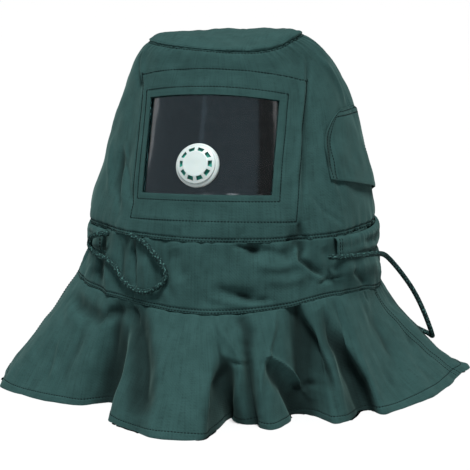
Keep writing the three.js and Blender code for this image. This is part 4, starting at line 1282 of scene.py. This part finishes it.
def lens():
    reach = HALF_WINDOW + LENS_LAP
    angle, level = face_grid(np.linspace(-reach, reach, 84), *window_rows(5, LENS_LAP, 60, 5, LENS_LAP))
    points = off_head(angle, level, -LENS_DEPTH)
    centre = (points[:-1, :-1] + points[1:, 1:]) / 2 - valve_base
    from_valve = np.hypot(centre @ valve_right, centre @ valve_up)
    piece = shell("window_lens", points, LENS_WALL, clear_lens, keep=from_valve > LENS_HOLE)
    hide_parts("lens")
    return points


lens_points = lens()


def facing():
    reach = HALF_WINDOW + FACING_SIDE
    lap = np.linspace(HALF_WINDOW, reach, FACING_COLUMNS)
    across = np.concatenate([-lap[::-1], np.linspace(-HALF_WINDOW, HALF_WINDOW, 60)[1:-1], lap])
    rows = window_rows(FACING_ROWS, FACING_BELOW, FACING_INSIDE, 10, FACING_ABOVE)
    angle, level = face_grid(across, *rows)
    points = off_head(angle, level, -FACING_DEPTH)
    keep = np.ones((points.shape[0] - 1, points.shape[1] - 1), bool)
    first = FACING_ROWS - 1
    keep[first:first + FACING_INSIDE - 1, FACING_COLUMNS - 1:1 - FACING_COLUMNS] = False
    piece = shell("window_facing_cloth", points, FACING_WALL, canvas, keep=keep)
    declare_cloth(piece, "window_facing")


facing()


# Exhalation valve
VALVE_TURNS = 96
RAY_START = 40

lens_index = np.arange(lens_points[..., 0].size).reshape(lens_points.shape[:2])
lens_quads = np.stack([lens_index[:-1, :-1], lens_index[:-1, 1:],
                       lens_index[1:, 1:], lens_index[1:, :-1]], -1).reshape(-1, 4)
lens_tree = BVHTree.FromPolygons([Vector(p) for p in lens_points.reshape(-1, 3)], lens_quads.tolist())


def lens_front(x, y):
    """How far the lens lies along the valve's axis, at points across it."""
    out = []
    for a, b in zip(x, y):
        start = valve_base + valve_right * a + valve_up * b + valve_out * RAY_START
        hit = lens_tree.ray_cast(Vector(start), Vector(-valve_out))
        out.append(RAY_START - hit[3] if hit[3] is not None else 0.0)
    return np.array(out)


def lathe(name, outline, material, node):
    """A turned piece of the valve from an outline of radius and distance out, in millimetres.

    A point with a third value lies that far off the lens. An outline that doesn't start and end on the
    axis is closed.
    """
    turn = np.linspace(0, 2 * math.pi, VALVE_TURNS, endpoint=False)
    vertices = []
    rings = []
    for radius, out, *follow in outline:
        if radius < 1e-6:
            rings.append([len(vertices)])
            vertices.append(valve_base + valve_out * out)
            continue
        x, y = radius * np.cos(turn), radius * np.sin(turn)
        height = lens_front(x, y) + out if follow else np.full(VALVE_TURNS, out)
        rings.append(list(range(len(vertices), len(vertices) + VALVE_TURNS)))
        vertices += list(valve_base + valve_right * x[:, None] + valve_up * y[:, None]
                         + valve_out * height[:, None])
    if len(rings[0]) > 1:
        rings.append(rings[0])
    faces = []
    for one, two in zip(rings[:-1], rings[1:]):
        for i in range(VALVE_TURNS):
            n = (i + 1) % VALVE_TURNS
            if len(one) == 1 and len(two) > 1:
                faces.append((one[0], two[i], two[n]))
            elif len(two) == 1 and len(one) > 1:
                faces.append((one[i], two[0], one[n]))
            elif len(one) > 1:
                faces.append((one[i], two[i], two[n], one[n]))
    piece = new_piece(name, (np.array(vertices) + SHIFT) * MM, faces, material)
    bm = bmesh.new()
    bm.from_mesh(piece.data)
    bmesh.ops.recalc_face_normals(bm, faces=bm.faces)
    bm.to_mesh(piece.data)
    bm.free()
    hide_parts(node)
    return piece


def rounded(corners, steps=5):
    """An outline with its corners rounded. The third value of a corner is how far it is cut back."""
    out = []
    for i, (*here, cut_back) in enumerate(corners):
        here = np.array(here, float)
        if cut_back == 0:
            out.append(tuple(here))
            continue
        ends = [np.array(corners[(i + way) % len(corners)][:2], float) - here for way in (-1, 1)]
        to_before, to_after = [end / np.linalg.norm(end) for end in ends]
        for k in range(steps + 1):
            share = k / steps
            one, two = here + to_before * cut_back * (1 - share), here + to_after * cut_back * share
            out.append(tuple(one * (1 - share) + two * share))
    return out


# Outlines of the valve's pieces: radius and distance out, then a mark or a cut-back of the corner
FLANGE_BACK = [(14.0, -8.5), (16.0, -8.5), (16.0, 0.15, True), (23.2, 0.15, True), (23.5, 0.7, True)]
FLANGE_FRONT = [(23.5, 2.2, 0), (23.3, 2.7, 0.3), (21.6, 4.5, 0.7), (14.0, 4.5, 0.4), (14.0, 2.0, 0)]
CLAMP = [(16.4, -6.2), (21.4, -6.2), (21.4, -1.55, True), (16.4, -1.55, True)]
DISC = [(0.0, 4.8, 0), (18.1, 4.8, 0.3), (18.1, 5.8, 0.3), (0.0, 5.8, 0)]
CAP = [(18.5, 4.8, 0.2), (20.5, 4.8, 0.2), (20.5, 6.6, 0.6), (18.9, 7.3, 0.5), (13.4, 10.8, 1.2),
       (0.0, 10.8, 0), (0.0, 9.4, 0), (12.8, 9.4, 0.8), (17.4, 6.6, 0.5), (18.5, 6.0, 0.3)]

lathe("valve_flange", FLANGE_BACK + rounded(FLANGE_FRONT), white_plastic, "valve_seat")
lathe("valve_clamp", CLAMP, white_plastic, "valve_clamp_ring")
lathe("valve_disc", rounded(DISC), teal_rubber, "valve_diaphragm")


# Valve cap: a low dome with slots through its sloping flank
CAP_SLOTS = 10
SLOT_LONG = 6.4
SLOT_INNER = 13.6
SLOT_OUTER = 17.6
SLOT_MIDDLE = (SLOT_INNER + SLOT_OUTER) / 2
SLOT_DEPTHS = (6.05, 12.0)
SLOT_TURN = 2.0
CAP_EDGE = 0.00025
CAP_EDGE_ANGLE = 40
BOX_FACES = ((3, 2, 1, 0), (4, 5, 6, 7), (0, 1, 5, 4), (1, 2, 6, 5), (2, 3, 7, 6), (3, 0, 4, 7))


def valve_cap():
    cap = lathe("valve_cap_piece", rounded(CAP), white_plastic, "valve_cap")
    cutters = bmesh.new()
    for i in range(CAP_SLOTS):
        turn = math.radians(SLOT_TURN + i * 360 / CAP_SLOTS)
        across = valve_right * math.cos(turn) + valve_up * math.sin(turn)
        along = np.cross(valve_out, across)
        corners = []
        for out in SLOT_DEPTHS:
            for radius, side in ((SLOT_INNER, -1), (SLOT_OUTER, -1), (SLOT_OUTER, 1), (SLOT_INNER, 1)):
                half = SLOT_LONG / 2 * radius / SLOT_MIDDLE
                point = valve_base + across * radius + along * side * half + valve_out * out
                corners.append(cutters.verts.new((point + SHIFT) * MM))
        for face in BOX_FACES:
            cutters.faces.new([corners[k] for k in face])
    bmesh.ops.recalc_face_normals(cutters, faces=cutters.faces)
    mesh = bpy.data.meshes.new("slots")
    cutters.to_mesh(mesh)
    cutters.free()
    cutter = bpy.data.objects.new("slots", mesh)
    bpy.context.scene.collection.objects.link(cutter)
    cut = cap.modifiers.new("cut", "BOOLEAN")
    cut.operation = "DIFFERENCE"
    cut.solver = "EXACT"
    cut.object = cutter
    graph = bpy.context.evaluated_depsgraph_get()
    done = bpy.data.meshes.new_from_object(cap.evaluated_get(graph))
    cap.modifiers.clear()
    cap.data = done
    bpy.data.objects.remove(cutter)
    soft_edges(cap, CAP_EDGE, CAP_EDGE_ANGLE)


valve_cap()


# Stitches, each a short thread that dips into the cloth at both ends
STITCH_PITCH = 3.4
STITCH_LONG = 2.7
STITCH_RADIUS = 0.46
STITCH_SIDES = 6
FRAME_LIFT = 0.6

# Points along a stitch: share of its length, height over the cloth and share of its radius
STITCH_SHAPE = np.array([
    (-0.5, -0.35, 0.6), (-0.28, 0.12, 1), (0, 0.2, 1), (0.28, 0.12, 1), (0.5, -0.35, 0.6),
])
stitch_vertices = []
stitch_faces = []


def stitch_line(points, normals):
    """Stitches along a line on the cloth, given in millimetres with the cloth's normals."""
    along = np.concatenate([[0], np.cumsum(np.linalg.norm(np.diff(points, axis=0), axis=1))])
    count = int(along[-1] / STITCH_PITCH)
    turn = np.linspace(0, 2 * math.pi, STITCH_SIDES, endpoint=False)
    share, height, size = STITCH_SHAPE.T
    for k in range(count):
        places = (k + 0.5) * along[-1] / count + STITCH_LONG * share
        centre, normal = [np.stack([np.interp(places, along, field[:, i]) for i in range(3)], -1)
                          for field in (points, normals)]
        centre = centre + normal * height[:, None]
        tangent = np.gradient(centre, axis=0)
        tangent /= np.linalg.norm(tangent, axis=1, keepdims=True)
        side = np.cross(normal, tangent)
        side /= np.linalg.norm(side, axis=1, keepdims=True)
        rings = round_points(centre, STITCH_RADIUS * size[:, None], turn, side, np.cross(tangent, side))
        stitch_faces.extend(tube_faces(len(share), STITCH_SIDES, len(stitch_vertices)))
        stitch_vertices.extend(rings.reshape(-1, 3))


def sew(angle, level, relief_of, surface, lift=0.0):
    """Stitches along a line of angles and levels on a surface with its relief."""
    base = surface(angle, level)
    normal = surface_normal(surface, angle, level, SEWN_NORMAL_STEP)
    stitch_line(base + normal * (relief_of(angle, level, base) + lift)[..., None], normal)


def level_lines(heights, relief_of):
    columns = np.linspace(-179.9, 179.9, 900)
    for height in heights:
        sew(columns, level_at(np.full_like(columns, height)), relief_of, head_point)


level_lines([UPPER_SEAM + line + THREAD_SHIFT for line in SEAM_LINES], head_relief)
level_lines([CROWN_SEAM - SEAM_LINES[0] - THREAD_SHIFT], head_relief)
level_lines([LOWER_SEAM + line + THREAD_SHIFT for line in SEAM_LINES], band_relief)
hem_columns = np.linspace(CAPE_LEFT_SEAM + 0.3, 360 + CAPE_LEFT_SEAM - 0.3, 1600)
sew(hem_columns, np.full_like(hem_columns, HEM_LINE / LOWER_SEAM), cape_relief, cape_point)


def face_frame(laps):
    """One round of stitches on the face, a lap out from the opening on each side."""
    left, right, above, under = laps
    sides = (-HALF_WINDOW - left, HALF_WINDOW + right)
    for x in sides:
        guess = angle_at_x(np.array([x, x]), np.array([SILL_GUESS, TOP_GUESS]))
        levels = np.linspace(window_bottom(guess[:1], under)[0], window_top(guess[1:], above)[0], 160)
        sew(angle_at_x(np.full_like(levels, x), levels), levels, head_relief, head_point, FRAME_LIFT)
    across = np.linspace(*sides, 220)
    for edge, lap, guess in ((window_top, above, TOP_GUESS), (window_bottom, under, SILL_GUESS)):
        angle = angle_at_x(across, np.full_like(across, guess))
        for _ in range(4):
            level = edge(angle, lap)
            angle = angle_at_x(across, level)
        sew(angle, level, head_relief, head_point, FRAME_LIFT)


face_frame(INNER_LAPS)
face_frame(OUTER_LAPS)


def sew_grid(grid, rows, columns):
    """Stitches along a line across a cloth grid, given by shares of its rows and columns."""
    normal = grid_normals(grid)
    high = np.clip(np.asarray(rows) * (grid.shape[0] - 1), 0, grid.shape[0] - 1.001)
    wide = np.clip(np.asarray(columns) * (grid.shape[1] - 1), 0, grid.shape[1] - 1.001)
    j, i = high.astype(int), wide.astype(int)
    v, u = (high - j)[:, None], (wide - i)[:, None]

    def sample(field):
        return ((field[j, i] * (1 - u) + field[j, i + 1] * u) * (1 - v)
                + (field[j + 1, i] * (1 - u) + field[j + 1, i + 1] * u) * v)
    stitch_line(sample(grid), sample(normal))


# Rows of stitches by share of each grid: the vent's two rounds, the tunnels' mouths, the cape's side seams
VENT_ROUNDS = ((0.022, 0.11), (0.065, 0.27))
MOUTH_COLUMNS = (0.020, 0.037, 0.963, 0.980)
SIDE_SEAM_PLACES = (0.006, 0.994)

for inset, drop in VENT_ROUNDS:
    legs = np.linspace(0.01, 1 - drop, 90)
    across = np.linspace(inset, 1 - inset, 60)
    sew_grid(vent_surface, np.concatenate([legs, np.full(60, 1 - drop), legs[::-1]]),
             np.concatenate([np.full(90, inset), across, np.full(90, 1 - inset)]))

for grids, rows, places in (((right_tunnel, left_tunnel), np.linspace(0.1, 0.9, 60), MOUTH_COLUMNS),
                            ((cape_front, cape_back), np.linspace(0.02, 0.99, 120), SIDE_SEAM_PLACES)):
    for grid in grids:
        for place in places:
            sew_grid(grid, rows, np.full(len(rows), place))

stitching = new_piece("stitching", (np.array(stitch_vertices) + SHIFT) * MM, stitch_faces, thread)


# Floor and light
FLOOR_DROP = 0.0002
FLOOR_SIZE = 80
FLOOR_SHADE = 0.47
LIGHT_AIM = Vector((0, 0, 0.3))
CARD_COLOUR = (0.55, 0.82, 1.0)
WORLD_STRENGTH = 0.20
KEY_POWER = 6.9
KEY_PLACE = (16, 65)
KEY_SOFTNESS = 18

# Soft boxes: name, degrees right of the face, degrees up, how far, size, power and colour
SOFTBOXES = [
    ("left_strip", -76, 17, 2.2, (0.50, 1.3), 2.6, (1, 1, 1)),
    ("right_strip", 49, 30, 2.2, (0.16, 0.5), 0.3, (1, 1, 1)),
    ("front_card", 4, 21, 4.0, (3.6, 2.4), 10.0, CARD_COLOUR),
    ("left_card", -47, 21, 4.0, (3.6, 2.4), 9.0, CARD_COLOUR),
]

bpy.ops.mesh.primitive_plane_add(size=FLOOR_SIZE, location=(0, 0, -FLOOR_DROP))
floor = bpy.context.object
floor.name = "floor"
floor_recipe = Recipe("floor_white", Base_Color=(FLOOR_SHADE, FLOOR_SHADE, FLOOR_SHADE, 1),
                      Roughness=0.9, Specular_IOR_Level=0.1)
floor.data.materials.append(floor_recipe.material)


def towards(turn, height):
    """The direction from the hood that is turn degrees right of its face and height degrees up."""
    a, h = math.radians(turn), math.radians(height)
    return Vector((math.sin(a) * math.cos(h), -math.cos(a) * math.cos(h), math.sin(h)))


def lamp(name, kind, power, way, place=(0, 0, 0)):
    """A light that shines against way."""
    light = bpy.data.lights.new(name, kind)
    light.energy = power
    holder = bpy.data.objects.new(name, light)
    holder.location = place
    holder.rotation_euler = way.to_track_quat("Z", "Y").to_euler()
    bpy.context.scene.collection.objects.link(holder)
    return light


lamp("key", "SUN", KEY_POWER, towards(*KEY_PLACE)).angle = math.radians(KEY_SOFTNESS)
for name, turn, height, reach, size, power, colour in SOFTBOXES:
    way = towards(turn, height)
    softbox = lamp(name, "AREA", power, way, LIGHT_AIM + reach * way)
    softbox.shape = "RECTANGLE"
    softbox.size, softbox.size_y = size
    softbox.color = colour

world = bpy.data.worlds.new("studio")
world.use_nodes = True
background = world.node_tree.nodes["Background"].inputs
background["Color"].default_value = (1, 1, 1, 1)
background["Strength"].default_value = WORLD_STRENGTH
bpy.context.scene.world = world
bpy.context.scene.view_settings.view_transform = "Standard"
